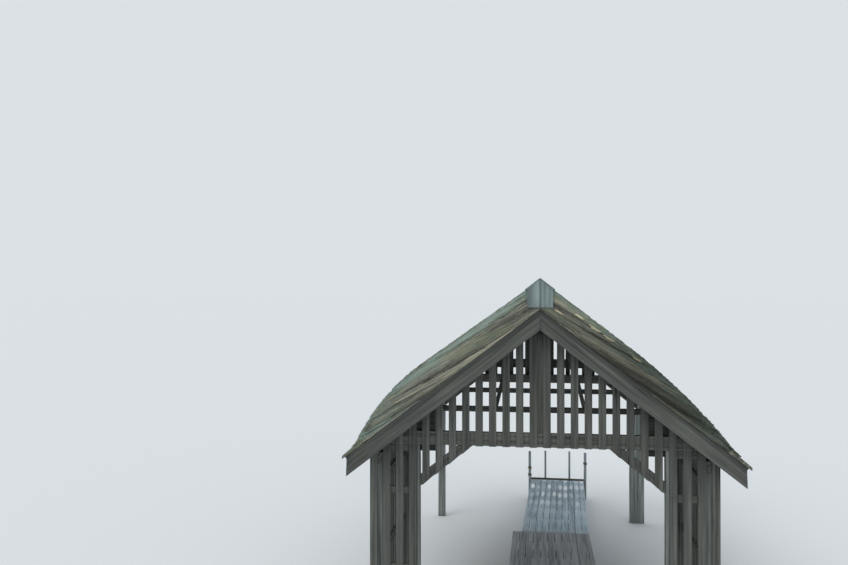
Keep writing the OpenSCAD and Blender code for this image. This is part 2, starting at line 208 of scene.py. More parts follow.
def tubeEnds(rows, columns):
    # triangles that close a tube at two middle points, which are stored after its rings
    ring = np.arange(columns)
    around = (ring + 1) % columns
    count = rows * columns
    return np.concatenate([
        np.stack([np.full(columns, count), around, ring], axis=1),
        np.stack([np.full(columns, count + 1), count - columns + ring, count - columns + around], axis=1)])


def domeFaces(count, rings, columns=8):
    # faces of many domes, each stored as its rings and then its crown, with a flat closed back
    size = rings * columns + 1
    base = (np.arange(count) * size)[:, None, None]
    ring = np.arange(columns)
    last = size - 1 - columns
    crown = np.stack([last + ring, last + (ring + 1) % columns, np.full(columns, size - 1)], axis=1)
    back = np.stack([ring[1:-1] + 1, ring[1:-1], np.zeros(columns - 2, int)], axis=1)
    return ((base + tubeQuads(rings, columns)).reshape(-1, 4),
            (base + np.concatenate([crown, back])).reshape(-1, 3))


def partOf(points, quads, tris, grain, tone=0.0, edge=0.0):
    # a closed part: the materials read each point's place in the grain, its tone, and its edge,
    # which is 1 on a worn arris and the share of moss on a reed
    return {"points": points, "quads": quads, "tris": tris, "grain": grain,
            "tone": np.broadcast_to(tone, len(points)), "edge": np.broadcast_to(edge, len(points))}


def mirrored(part):
    # the same part on the left of the building, with its faces still outwards
    return {**part, "points": part["points"] * [-1, 1, 1], "quads": part["quads"][:, ::-1],
            "tris": part["tris"][:, ::-1]}


def onSide(part, sideName):
    return part if sideName == "right" else mirrored(part)


def makePiece(name, parts, material, replaced=(), smoothEnds=False):
    # joins parts into one object that rides on the building; the flat ends of timbers are
    # triangles, which stay sharp
    starts = np.cumsum([0] + [len(part["points"]) for part in parts[:-1]])
    points = np.concatenate([part["points"] for part in parts])
    quads = np.concatenate([part["quads"] + start for part, start in zip(parts, starts)])
    tris = np.concatenate([part["tris"] + start for part, start in zip(parts, starts)])
    mesh = bpy.data.meshes.new(name)
    mesh.vertices.add(len(points))
    mesh.vertices.foreach_set("co", points.ravel())
    mesh.loops.add(quads.size + tris.size)
    mesh.loops.foreach_set("vertex_index", np.concatenate([quads.ravel(), tris.ravel()]).astype(np.int32))
    mesh.polygons.add(len(quads) + len(tris))
    mesh.polygons.foreach_set("loop_start", np.concatenate(
        [np.arange(len(quads)) * 4, quads.size + np.arange(len(tris)) * 3]).astype(np.int32))
    mesh.polygons.foreach_set("use_smooth", np.concatenate(
        [np.ones(len(quads), bool), np.full(len(tris), smoothEnds)]))
    mesh.update(calc_edges=True)
    for key in ("grain", "tone", "edge"):
        values = np.concatenate([part[key] for part in parts]).astype(np.float32)
        vector = values.ndim == 2
        attribute = mesh.attributes.new(key, "FLOAT_VECTOR" if vector else "FLOAT", "POINT")
        attribute.data.foreach_set("vector" if vector else "value", values.ravel())
    mesh.materials.append(material)
    piece = bpy.data.objects.new(name, mesh)
    bpy.context.scene.collection.objects.link(piece)
    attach(piece, "root")
    if replaced:
        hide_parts(*replaced)


def pair(name, builder, material, node, rightExtra=()):
    # the same kind of piece on the right and, mirrored, on the left; the builder is told which
    for sideName, extra in (("right", rightExtra), ("left", ())):
        parts = [onSide(part, sideName) for part in builder(sideName)] + list(extra)
        makePiece(name + sideName.capitalize(), parts, material, [node + "_" + sideName])


# Timber: a rounded section carried along a straight line between two sawn ends
timberLook = {
    "radius": 0.006,          # worn arris of a beam
    "chamfer": 0.003,         # softened sawn ends
    "step": 0.13,             # distance between the rings of a beam
    "spacing": 0.05,          # distance between the lines along its faces
    "wear": 0.003,            # hollows are up to 0.6 of this deep, and twice that on an arris
    "hollow": (0.35, 0.09),   # length and width of the hollows
    "chip": (0.12, 0.05),     # length and width of the chips on an arris
}
timberSeeds = itertools.count(1)


def roundedOutline(corners, radius, spacing):
    # outline of a convex section: each corner is the curve (1-t)^2 a + 2t(1-t) corner + t^2 b
    # between points a and b one radius away from it, and long sides get points in between; the
    # second array is 1 on the curves
    t = np.array([[0], [0.5], [1]])
    outline, onEdge = [], []
    for before, corner, after in zip(np.roll(corners, 1, axis=0), corners, np.roll(corners, -1, axis=0)):
        toBefore, toAfter = before - corner, after - corner
        cut = min(radius, 0.4 * np.linalg.norm(toBefore), 0.4 * np.linalg.norm(toAfter))
        a = corner + unit(toBefore) * cut
        b = corner + unit(toAfter) * cut
        side = np.linalg.norm(toAfter) - 2 * cut
        steps = np.arange(1, int(side / spacing) + 1)[:, None]
        outline += [(1 - t) ** 2 * a + 2 * t * (1 - t) * corner + t ** 2 * b,
                    b + unit(toAfter) * side * steps / (len(steps) + 1)]
        onEdge += [np.ones(len(t)), np.zeros(len(steps))]
    return np.concatenate(outline), np.concatenate(onEdge)


def timber(section, u, w, axis, origin, startCuts, endCuts, seed=None, **options):
    # a beam: its section is given along u and w, and each line of it runs along the axis from the
    # last of the start cuts to the first of the end cuts; a cut is a distance, or a point and the
    # normal of a plane. Each point is drawn towards the section's middle by the depth of its wear
    look = {**timberLook, **options}
    seed = seed or next(timberSeeds)
    rng = np.random.default_rng(seed)
    corners = np.array(section, float)
    following = np.roll(corners, -1, axis=0)
    area = (corners[:, 0] * following[:, 1] - following[:, 0] * corners[:, 1]).sum()
    if area * np.dot(np.cross(u, w), axis) < 0:
        corners = corners[::-1]
    outline, onEdge = roundedOutline(corners, look["radius"], look["spacing"])
    lines = origin + outline[:, :1] * u + outline[:, 1:] * w

    def reach(cut):
        if np.isscalar(cut):
            return np.full(len(lines), float(cut))
        point, normal = cut
        return ((point - lines) @ normal) / np.dot(axis, normal)

    first = np.max([reach(cut) for cut in startCuts], axis=0)
    last = np.min([reach(cut) for cut in endCuts], axis=0)
    length = (last - first).mean()
    chamfer = look["chamfer"]
    inner = np.linspace(0, 1, max(2, int(length / look["step"]) + 1))
    share = np.concatenate([[0], inner * (1 - 2 * chamfer / length) + chamfer / length, [1]])
    along = first + share[:, None] * (last - first)
    perimeter = np.cumsum(np.linalg.norm(np.diff(outline, axis=0, append=outline[:1]), axis=1))
    hollow = smoothNoise(along / look["hollow"][0], perimeter / look["hollow"][1], seed) * 0.5 + 0.5
    chip = smoothNoise(along / look["chip"][0], perimeter / look["chip"][1], seed + 500) * 0.5 + 0.5
    depth = look["wear"] * 0.6 * (hollow + onEdge * chip)
    depth[[0, -1]] += chamfer
    middle = outline.mean(axis=0)
    toMiddle = middle - outline
    toMiddle /= np.linalg.norm(toMiddle, axis=1, keepdims=True) + 1e-9
    place = outline[None] + toMiddle[None] * depth[..., None]
    points = origin + place[..., :1] * u + place[..., 1:] * w + along[..., None] * axis
    caps = points[[0, -1]].mean(axis=1)
    grain = np.concatenate([place, along[..., None]], axis=-1).reshape(-1, 3)
    ends = np.array([[*middle, first.mean()], [*middle, last.mean()]])
    offset = rng.uniform(-9, 9, 3)
    return partOf(np.concatenate([points.reshape(-1, 3), caps]), tubeQuads(*along.shape),
                  tubeEnds(*along.shape), np.concatenate([grain, ends]) + offset, rng.uniform(-1, 1),
                  np.concatenate([np.broadcast_to(onEdge, along.shape).ravel(), [0, 0]]))


def rectangle(low, high):
    return [[low[0], low[1]], [high[0], low[1]], [high[0], high[1]], [low[0], high[1]]]


def blockTimber(low, high, axis, **options):
    # a straight squared timber that fills the box from low to high, with its grain along an axis
    u, w = (one for one in range(3) if one != axis)
    ways = np.eye(3)
    return timber(rectangle(low[[u, w]], high[[u, w]]), ways[u], ways[w], ways[axis], np.zeros(3),
                  [low[axis]], [high[axis]], **options)


def slopeTimber(section, y0, y1, **options):
    # a timber along Y on the right slope, with its section in s and n
    return timber(section, downSlope, offSlope, alongY, underRidge, [y0], [y1], **options)


poleLook = {
    "sides": 18,
    "step": 0.09,                       # distance between the rings
    "head": (0.97, 0.85, 0.6, 0.25),    # radii of the worn, domed head, as shares
    "headHeight": 0.35,                 # in radii
    "sawn": 0.96,                       # radius of a sawn end, as a share
    "dent": 0.03,                       # depth of the dents, in radii
    "dentLength": 0.25,
    "dentWaves": (1.5, 2.5),            # how fast the dents change around the pole
    "split": (0.12, 0.09),              # width in radians and depth in radii of the drying crack
}


def pole(centre, radius, low, high, domed=True):
    # a round pole: circles carried upwards, a little out of round, with one long drying crack
    look = poleLook
    seed = next(timberSeeds)
    rng = np.random.default_rng(seed)
    stations = np.linspace(0, 1, max(4, int((high - low) / look["step"])))
    head = look["head"] if domed else [look["sawn"]]
    dome = radius * look["headHeight"] * domed
    heights = low + (high - low - dome) * np.concatenate([stations, np.ones(len(head))])
    heights[len(stations):] += dome * np.linspace(0.25, 1, len(head))
    radii = np.concatenate([np.ones(len(stations)), head])
    radii[0] = look["sawn"]
    angle = anglesOf(look["sides"])[None]
    waveX, waveY = look["dentWaves"]
    dent = smoothNoise(heights[:, None] / look["dentLength"],
                       np.cos(angle) * waveX + np.sin(angle) * waveY, seed)
    width, deep = look["split"]
    split = np.exp(-((angle - rng.uniform(1, 5)) / width) ** 2) * deep
    size = radius * radii[:, None] * (1 - look["dent"] * (dent + 1) - split)
    x = centre[0] + size * np.cos(angle)
    y = centre[1] + size * np.sin(angle)
    z = np.broadcast_to(heights[:, None], x.shape)
    caps = np.array([[*centre[:2], heights[0]], [*centre[:2], heights[-1]]])
    points = np.concatenate([np.stack([x, y, z], axis=-1).reshape(-1, 3), caps])
    return partOf(points, tubeQuads(*x.shape), tubeEnds(*x.shape), points + rng.uniform(-9, 9, 3),
                  rng.uniform(-1, 1))


# Materials

def toLinear(code):
    # sRGB hex code to linear light
    channels = np.array([int(code[i:i + 2], 16) for i in (1, 3, 5)]) / 255
    linear = np.where(channels <= 0.04045, channels / 12.92, ((channels + 0.055) / 1.055) ** 2.4)
    return (*linear, 1.0)


def addNode(tree, kind, inputs=(), stops=(), **settings):
    # adds one node with its settings, its colour stops and its inputs, which are a dictionary or
    # a list in the order of the node's own; a node as an input gives its first output in use
    node = tree.nodes.new("ShaderNode" + kind)
    for key, value in settings.items():
        setattr(node, key, value)
    for index, (place, colour) in enumerate(stops):
        elements = node.color_ramp.elements
        if index == len(elements):
            elements.new(1)
        elements[index].position = place
        elements[index].color = toLinear(colour)
    if isinstance(inputs, dict):
        filled = [(node.inputs[name], value) for name, value in inputs.items()]
    else:
        filled = zip([socket for socket in node.inputs if socket.enabled], inputs)
    for socket, value in filled:
        if isinstance(value, bpy.types.Node):
            value = next(output for output in value.outputs if output.enabled)
        if isinstance(value, bpy.types.NodeSocket):
            tree.links.new(value, socket)
        else:
            socket.default_value = toLinear(value) if isinstance(value, str) else value
    return node


def newMaterial(name):
    # an empty material, with addNode made ready for it
    material = bpy.data.materials.new(name)
    material.use_nodes = True
    material.node_tree.nodes.clear()
    return material, functools.partial(addNode, material.node_tree)


def closeMaterial(add, colour, roughness, bumpHeight, bumpDistance, strength=0.8, specular=0.3):
    # bump, shader and output
    bump = add("Bump", {"Height": bumpHeight, "Strength": strength, "Distance": bumpDistance})
    shader = add("BsdfPrincipled", {"Base Color": colour, "Roughness": roughness, "Normal": bump,
                                    "Specular IOR Level": specular})
    add("OutputMaterial", {"Surface": shader})


def drawnNoise(add, lay, across, along, detail, distortion=0.0):
    # noise drawn out along the grain, with so many cells in a metre across it and along it
    scaled = add("Mapping", {"Vector": lay, "Scale": (across, across, along)})
    return add("TexNoise", {"Vector": scaled, "Scale": 1.0, "Detail": detail, "Distortion": distortion})


algaeLook = {
    "fullZ": 0.05,            # height at which they are thickest, just over the feet
    "above": 0.15,            # their strength over the height from which they grow
    "patch": (0.42, 0.62),    # values of the blotches between which a patch begins
    "between": 0.12,          # share of green between the patches
}


def withAlgae(add, place, blotch, colour, algae, top, share):
    # algae grow in patches, from a height down to the feet of the posts
    look = algaeLook
    height = add("SeparateXYZ", [place]).outputs["Z"]
    low = add("MapRange", [height, top, look["fullZ"], 0.0, 1.0])
    patch = add("MapRange", [blotch, *look["patch"], look["between"], share])
    green = add("Math", [low, 1 - look["above"], look["above"]], operation="MULTIPLY_ADD")
    green = add("Math", [green, patch], operation="MULTIPLY")
    return add("Mix", [green, colour, algae], data_type="RGBA")


def withDapple(add, place, colour, dapple):
    # bleached spots over the bearers: the deck is divided into cells of one board by one bay, and
    # each cell has an oval spot of its own strength and place near its middle
    cells = add("Mapping", {"Vector": place, "Location": dapple["start"], "Scale": dapple["cell"],
                            "Rotation": (0, 0, dapple["turn"])}, vector_type="TEXTURE")
    number = add("VectorMath", [cells], operation="FLOOR")
    chance = add("TexWhiteNoise", {"Vector": number}, noise_dimensions="2D").outputs
    inside = add("VectorMath", [cells], operation="FRACTION")
    inside = add("VectorMath", [inside, dapple["middle"]], operation="ADD")
    inside = add("VectorMath", [chance["Color"], dapple["scatter"], inside], operation="MULTIPLY_ADD")
    inside = add("VectorMath", [inside, dapple["narrow"]], operation="MULTIPLY")
    inside = add("VectorMath", [inside], operation="LENGTH")
    spot = add("MapRange", [inside, dapple["full"], 1.0, 1.0, 0.0])
    bleached = add("MapRange", [chance["Value"], 0.2, 0.9, *dapple["strength"]])
    bleached = add("Math", [spot, bleached], operation="MULTIPLY")
    # towards its far end the deck stays damp and dark between spots that stand out more
    bay = add("SeparateXYZ", [cells]).outputs["Y"]
    wet = add("MapRange", [bay, dapple["dampFrom"], dapple["dampTo"], 0.0, 1.0])
    shade = add("Math", [wet, -dapple["soaked"], 1.0], operation="MULTIPLY_ADD")
    soaked = add("VectorMath", [colour, shade], operation="SCALE")
    clear = add("Math", [wet, 1 - dapple["dryShare"], dapple["dryShare"]], operation="MULTIPLY_ADD")
    bleached = add("Math", [bleached, clear], operation="MULTIPLY")
    return add("Mix", [bleached, soaked, dapple["colour"]], data_type="RGBA")


def weatheredWood(name, dark, middle, light, algae="#454a3d", algaeTop=0.6, algaeShare=0.5,
                  grainTurn=None, dapple=None, wornEdge=0.2):
    # softwood left bare for decades: grey fibres in low ridges, dark drying cracks, paler arrises
    # and green algae low down
    material, add = newMaterial(name)
    place = add("TexCoord").outputs["Object"]
    if grainTurn is None:
        lay = add("Attribute", attribute_name="grain").outputs["Vector"]
    else:
        lay = add("Mapping", {"Vector": place, "Rotation": grainTurn})
    tone = add("Attribute", attribute_name="tone").outputs["Fac"]
    edge = add("Attribute", attribute_name="edge").outputs["Fac"]
    band = drawnNoise(add, lay, 28, 0.9, 3.0)          # bands of the grain, 35 mm wide
    fibre = drawnNoise(add, lay, 190, 3.0, 2.0)        # 5 mm wide, coarser than real, to show
    crack = drawnNoise(add, lay, 55, 1.3, 4.0, 0.3)    # drying cracks, 18 mm apart
    crack = add("ValToRGB", [crack], [(0.30, "#ffffff"), (0.36, "#000000")])
    # stains of about 500 mm
    blotch = add("TexNoise", {"Vector": place, "Scale": 1.9, "Detail": 4.0, "Roughness": 0.6})
    base = add("ValToRGB", [band], [(0.28, dark), (0.52, middle), (0.75, light)])
    shade = add("Math", [tone, 0.16, 1.0], operation="MULTIPLY_ADD")
    for pattern, palest in ((blotch, 1.14), (fibre, 1.1)):
        change = add("MapRange", [pattern, 0.3, 0.7, 0.86, palest])
        shade = add("Math", [shade, change], operation="MULTIPLY")
    toned = add("VectorMath", [base, shade], operation="SCALE")
    worn = add("Math", [edge, wornEdge], operation="MULTIPLY")
    colour = add("Mix", [worn, toned, light], data_type="RGBA")
    colour = add("Mix", [crack, colour, dark], data_type="RGBA", blend_type="MULTIPLY")
    colour = withAlgae(add, place, blotch, colour, algae, algaeTop, algaeShare)
    if dapple:
        colour = withDapple(add, place, colour, dapple)
    ridges = add("Math", [crack, -0.9, fibre], operation="MULTIPLY_ADD")
    dull = add("MapRange", [blotch, 0.3, 0.7, 0.78, 0.95])
    closeMaterial(add, colour, dull, ridges, 0.003)
    return material


# painted shade of the trees that stand over the right slope, darkest towards the eave
paintedShadeLook = {
    "heights": (4.25, 3.8),    # between them the painted shade grows to its full share
    "leastShade": 0.15,         # part of the full share that is left at the ridge
    "colour": "#22251f",
}


def withPaintedShade(add, place, colour, darker):
    # painted shade of the trees over the right slope: the reeds are darkened, and the more so the lower
    # they lie
    height = add("SeparateXYZ", [place]).outputs["Z"]
    share = add("MapRange", [height, *paintedShadeLook["heights"], darker * paintedShadeLook["leastShade"], darker])
    return add("Mix", [share, colour, paintedShadeLook["colour"]], data_type="RGBA")


def mossyThatch(name, darker):
    # the skin of an old reed coat: grey-brown stems in fine streaks, sunk under grey-green moss
    # and lichen that grow in soft patches
    material, add = newMaterial(name)
    place = add("TexCoord").outputs["Object"]
    lay = add("Attribute", attribute_name="grain").outputs["Vector"]
    stem = drawnNoise(add, lay, 130, 4.0, 3.0)     # stems of 8 mm
    bundle = drawnNoise(add, lay, 22, 2.2, 3.0)    # bundles of 45 mm
    # patches of moss of about 400 mm
    patch = add("TexNoise", {"Vector": place, "Scale": 2.6, "Detail": 6.0, "Roughness": 0.62})
    tuft = add("TexNoise", {"Vector": place, "Scale": 45.0, "Detail": 4.0})    # tufts of 22 mm
    reed = add("ValToRGB", [stem], [(0.30, "#48473f"), (0.45, "#706e62"), (0.58, "#979484"),
                                    (0.72, "#bab6a4")])
    tint = add("ValToRGB", [bundle], [(0.35, "#80807a"), (0.65, "#dcdbd0")])
    reed = add("Mix", [0.75, reed, tint], data_type="RGBA", blend_type="MULTIPLY")
    moss = add("ValToRGB", [tuft], [(0.30, "#4a5448"), (0.50, "#76836d"), (0.68, "#a0ac91")])
    grown = add("MapRange", [patch, 0.43, 0.56, 0.0, 0.95])
    colour = add("Mix", [grown, reed, moss], data_type="RGBA")
    height = add("Mix", [grown, stem, tuft], data_type="FLOAT")
    closeMaterial(add, withPaintedShade(add, place, colour, darker), 0.95, height, 0.012, 1.0, 0.15)
    return material


def reedStems(name, darker):
    # single reeds: hollow straw-coloured stems that have gone grey and brown, under olive moss
    # where some creeps over them and under blue-grey lichen where they lie in the open, which
    # along the top of the verge is partly a painted sky highlight
    material, add = newMaterial(name)
    place = add("TexCoord").outputs["Object"]
    lay = add("Attribute", attribute_name="grain").outputs["Vector"]
    tone = add("Attribute", attribute_name="tone").outputs["Fac"]
    mossy = add("Attribute", attribute_name="edge").outputs["Fac"]
    streak = drawnNoise(add, lay, 300, 9.0, 2.0)   # 3 mm wide, coarser than real, to show
    shift = add("Math", [streak, 0.35, tone], operation="MULTIPLY_ADD")
    shift = add("Math", [shift, -0.175], operation="ADD")
    reed = add("ValToRGB", [shift], [(0.0, "#383632"), (0.25, "#5f5d56"), (0.5, "#89897c"),
                                     (0.75, "#b4b09d"), (1.0, "#ded5b6")])
    # the palest stop, reached mostly along the top of the verge, is lichen with a painted sky highlight
    growth = add("ValToRGB", [mossy], [(0.35, "#707a5e"), (0.65, "#84927d"), (0.95, "#95a69e")])
    patch = add("TexNoise", {"Vector": place, "Scale": 6.0, "Detail": 5.0})    # patches of 170 mm
    grown = add("Math", [patch, mossy], operation="MULTIPLY")
    grown = add("MapRange", [grown, 0.12, 0.42, 0.0, 0.9])
    colour = add("Mix", [grown, reed, growth], data_type="RGBA")
    closeMaterial(add, withPaintedShade(add, place, colour, darker), 0.9, streak, 0.001, 0.5, 0.2)
    return material


def mossCushion(name, darker):
    # cushions of moss: dense soft grey-green with paler tips and brown hollows, in tufts of 6 mm
    material, add = newMaterial(name)
    place = add("TexCoord").outputs["Object"]
    tone = add("Attribute", attribute_name="tone").outputs["Fac"]
    tuft = add("TexNoise", {"Vector": place, "Scale": 160.0, "Detail": 3.0})
    shift = add("Math", [tone, 0.2, tuft], operation="MULTIPLY_ADD")
    colour = add("ValToRGB", [shift], [(0.25, "#3e463a"), (0.45, "#5d6a55"), (0.62, "#77846a"),
                                       (0.9, "#9aa483")])
    closeMaterial(add, withPaintedShade(add, place, colour, darker), 0.97, tuft, 0.006, 1.0, 0.1)
    return material


def hempRope(name):
    # hemp rope gone grey: pale twisted strands with dark grooves between them
    material, add = newMaterial(name)
    lay = add("Attribute", attribute_name="grain").outputs["Vector"]
    strand = add("TexWave", {"Vector": lay, "Scale": 40.0, "Distortion": 0.6}).outputs["Fac"]
    colour = add("ValToRGB", [strand], [(0.1, "#4d483c"), (0.6, "#8b8470")])
    closeMaterial(add, colour, 0.9, strand, 0.002)
    return material


def rustyIron(name):
    # hand-driven iron nails: brown rust with darker pits of 3 mm
    material, add = newMaterial(name)
    place = add("TexCoord").outputs["Object"]
    pit = add("TexNoise", {"Vector": place, "Scale": 300.0, "Detail": 2.0})
    colour = add("ValToRGB", [pit], [(0.35, "#2c2521"), (0.65, "#54433a")])
    closeMaterial(add, colour, 0.75, pit, 0.0006)
    return material


# the bearers of the outer deck give the rows in which its boards are bleached
deckLow, deckHigh = boxOf("jetty_deck_outer")
outerBoards = len(solidsOf("jetty_deck_outer"))
outerBearers = sorted((solid.mean(axis=0) for solid in solidsOf("jetty_bearers")
                       if solid[:, 2].max() < deckHigh[2] and solid[:, 1].min() > deckLow[1] + 0.05),
                      key=lambda middle: middle[1])
outerRun = outerBearers[-1] - outerBearers[0]
bayLength = np.linalg.norm(outerRun[:2]) / (len(outerBearers) - 1)
boardPitch = (deckHigh[0] - deckLow[0]
              - outerRun[0] / outerRun[1] * (deckHigh[1] - deckLow[1])) / outerBoards
outerDapple = {
    "strength": (0.1, 1.0),                 # of the weakest spots and of the strongest
    "colour": "#eef5f8",
    "turn": -math.atan2(outerRun[0], outerRun[1]),
    "start": tuple(outerBearers[0] - [boardPitch * (outerBoards / 2), bayLength / 2, 0]),
    "cell": (boardPitch, bayLength, 1.0),
    "narrow": (2.6, 2.5, 0.0),              # one over half the spot's width and length, in cells
    "middle": (-0.56, -0.6, 0),             # takes the middle of a spot to 0, with half its scatter
    "scatter": (0.12, 0.2, 0),              # how far the middles of the spots differ, in cells
    "full": 0.45,                           # share of a spot that is bleached fully
    "soaked": 0.42,                         # how much darker the damp end of the deck is
    "dryShare": 0.45,                       # strength of the spots where it is dry
    "dampFrom": len(outerBearers) * 0.2,    # the bays between which the deck turns damp
    "dampTo": len(outerBearers) * 0.55,
}

slatWood = weatheredWood("GreyedSlatWood", "#3c3d3a", "#555753", "#6a6b66")
postWood = weatheredWood("GreyedPostWood", "#454845", "#686d69", "#858a86", algaeShare=0.6)
# the back posts are partly bleached grey and partly painted paler, as painted light on their faces under
# the roof
lakePostWood = weatheredWood("BleachedPostWoodPaintedLight", "#5c625f", "#888f8c", "#a9afad", algaeShare=0.3)
frameWood = weatheredWood("DarkFrameWood", "#444541", "#60625d", "#767872", algaeShare=0.3)
bargeWood = weatheredWood("DampBargeWood", "#3b3c39", "#525450", "#666762", algaeShare=0.3)
battenWood = weatheredWood("MossyEaveWood", "#3e3e39", "#62615a", "#858278", algae="#687260",
                           algaeTop=6.0, algaeShare=0.7)
ridgeWood = weatheredWood("SilveredRidgeBoard", "#525c5d", "#748182", "#919fa0", algae="#69756a",
                          algaeTop=6.0, algaeShare=0.3, wornEdge=0.1)
# the inner deck is painted paler than its grey wood, as painted light that lifts the shade under the roof
innerDeckWood = weatheredWood("InnerDeckBoardPaintedLight", "#8b8e92", "#b6babf", "#d0d3d8", algae="#8a9185",
                              algaeShare=0.3)
# the outer deck's pale blue-grey is weathered grey wood with a painted reflection of the sky
outerDeckWood = weatheredWood("BleachedDeckBoardPaintedSky", "#9fb6c6", "#cbe0ef", "#e8f4fb", algae="#98a6a5",
                              algaeShare=0.2, dapple=outerDapple)
bearerWood = weatheredWood("RoughBearerWood", "#3a3936", "#57554f", "#737068", algaeShare=0.6)
pileWood = weatheredWood("WaterlinePileWood", "#302f2b", "#4e4c46", "#6a6760", algae="#4f5744",
                         algaeTop=0.4, algaeShare=0.7)
mooringWood = weatheredWood("WeatheredPoleWood", "#646d71", "#8f9a9f", "#b5c0c5", algaeTop=0.4)
ladderWood = weatheredWood("PaleLadderWood", "#666e73", "#929da2", "#b6c0c6", algaeTop=0.4)
thatchSkin = mossyThatch("MossyReedThatch", 0.0)
# the copies for the right slope are darkened by painted shade of the trees over it
shadedSkin = mossyThatch("ShadedReedThatch", 0.4)
lightReed = reedStems("GreyedReed", 0.0)
shadedReed = reedStems("PaintedShadeReed", 0.62)
mossGreen = mossCushion("MossCushion", 0.0)
shadedMoss = mossCushion("ShadedMossCushion", 0.35)
ropeHemp = hempRope("GreyHempRope")
nailIron = rustyIron("RustedNailIron")

# the rafters and the ridge beam keep their own solids, with the grain turned along them
for node, name, grainTurn in (("rafters_right", "RafterWoodRight", (0, math.pi / 2 + pitch, 0)),
                              ("rafters_left", "RafterWoodLeft", (0, math.pi / 2 - pitch, 0)),
                              ("ridge_beam", "RidgeBeamWood", (math.pi / 2, 0, 0))):
    nodes[node].data.materials.clear()
    nodes[node].data.materials.append(weatheredWood(name, "#4b4c48", "#6d6f69", "#868881",
                                                    algaeShare=0.3, grainTurn=grainTurn))
print("materials made")


# Posts, plates, ties and king posts
postLook = {"radius": 0.009, "wear": 0.005}
jambLook = {"radius": 0.008, "wear": 0.005}
plankLook = {"radius": 0.006, "wear": 0.004}
plateLook = {"radius": 0.008, "wear": 0.004}
beamLook = {"radius": 0.008}
strutLook = {"radius": 0.005}
braceLook = {"radius": 0.006}
rightUnder = (underRidge, offSlope)
leftUnder = (underRidge, offSlope * [-1, 1, 1])


def squared(low, high, axis, **options):
    # a builder for pair, of one squared timber
    return lambda sideName: [blockTimber(low, high, axis, **options)]


def postSize(place):
    # the square post on the right, taken from its twin on the left, which nothing doubles
    low, high = boxOf("post_" + place + "_left")
    return np.array([-high[0], low[1], low[2]]), np.array([-low[0], high[1], high[2]])


def doublingPlank():
    # the plank nailed beside the right back post, up to the foot of its knee brace
    points = pointsOf("post_back_right")
    high = np.array([postSize("back")[0][0], levels(points[:, 1])[1], levels(points[:, 2])[1]])
    return blockTimber(points.min(axis=0), high, 2, **plankLook)


for place, wood, extra in (("front", postWood, False), ("middle", postWood, False),
                           ("back", lakePostWood, True)):
    pair("post" + place.capitalize(), squared(*postSize(place), 2, **postLook), wood,
         "post_" + place, [doublingPlank()] if extra else ())
pair("jambPost", squared(jambLow, jambHigh, 2, **jambLook), postWood, "jamb_post")
pair("wallPlate", squared(*boxOf("wall_plate_right"), 1, **plateLook), frameWood,
     "wall_plate")


def tieBetween(low, high):
    # a level beam across the building, cut to the undersides of the rafters
    return timber(rectangle(low[1:], high[1:]), alongY, upZ, acrossX, np.zeros(3), [leftUnder],
                  [rightUnder], **beamLook)


for place in ("front", "back"):
    makePiece("tieBeam" + place.capitalize(), [tieBetween(*boxOf("tie_beam_" + place))], frameWood,
              ["tie_beam_" + place])
    low, high = boxOf("king_post_" + place)
    kingPost = timber(rectangle(low[:2], high[:2]), acrossX, alongY, upZ, np.zeros(3), [low[2]],
                      [leftUnder, rightUnder, high[2]], **beamLook)
    makePiece("kingPost" + place.capitalize(), [kingPost], frameWood,
              ["king_post_" + place])


def roofFrame(node):
    # the thin tie and its two leaning struts
    points = pointsOf(node)
    low, high = boxOf(node)
    tieTop = levels(points[:, 2])[1]
    points = points[points[:, 0] > 0]
    footX = levels(points[np.abs(points[:, 2] - tieTop) < hair][:, 0])[:2]
    head = beyond(points, 2, tieTop)
    inner = head[head[:, 0].argmin()]
    lean = unit(np.array([inner[0] - footX[0], 0, inner[2] - tieTop]))
    side = np.array([lean[2], 0, -lean[0]])
    half = (footX[1] - footX[0]) / 2 * side[0]
    origin = np.array([footX.mean(), 0, tieTop])

    def strut():
        return timber(rectangle([-half, low[1]], [half, high[1]]), side, alongY, lean, origin,
                      [(origin, upZ)], [rightUnder], **strutLook)

    return [tieBetween(low, np.array([high[0], high[1], tieTop])), strut(), mirrored(strut())]


for place in ("middle", "rear"):
    makePiece("roofFrame" + place.capitalize(), roofFrame("roof_frame_" + place), frameWood,
              ["roof_frame_" + place])
print("posts and frames made")


# Battens, eave boards and barge boards
eaveLook = {"radius": 0.006, "wear": 0.005, "step": 0.08}
battenLook = {"radius": 0.004, "wear": 0.002}
letInLook = {"radius": 0.004, "wear": 0.001}
letInDepth = 0.002    # how far two battens reach into the eave board
letInFirst = 0.15     # the upper one of them lies within this distance of the board's upper edge
bargeLook = {"radius": 0.004, "wear": 0.003}


def battens(sideName):
    # the battens, and the eave board with the two battens that are let into it
    parts = []
    for solid in solidsOf("battens_right"):
        s, n = slopeOf(solid)
        y0, y1 = solid[:, 1].min(), solid[:, 1].max()
        if len(solid) == 8:
            parts.append(slopeTimber(rectangle([s.min(), n.min()], [s.max(), n.max()]), y0, y1,
                                     **battenLook))
            continue
        atEnd = solid[:, 1] > y1 - hair
        upper, boardLow, boardHigh = s[atEnd].min(), n[atEnd].min(), n.max()
        tip = solid[:, 0].max()
        parts.append(slopeTimber([[upper, boardLow], [down(tip, boardLow), boardLow],
                                  [down(tip, boardHigh), boardHigh], [upper, boardHigh]],
                                 y0, y1, **eaveLook))
        below = n < boardLow - hair
        inY = solid[below][:, 1]
        nearer = s[below] < upper + letInFirst
        for batten in (s[below][nearer], s[below][~nearer]):
            section = rectangle([batten.min(), n.min()], [batten.max(), boardLow + letInDepth])
            parts.append(slopeTimber(section, inY.min(), inY.max(), **letInLook))
    return parts


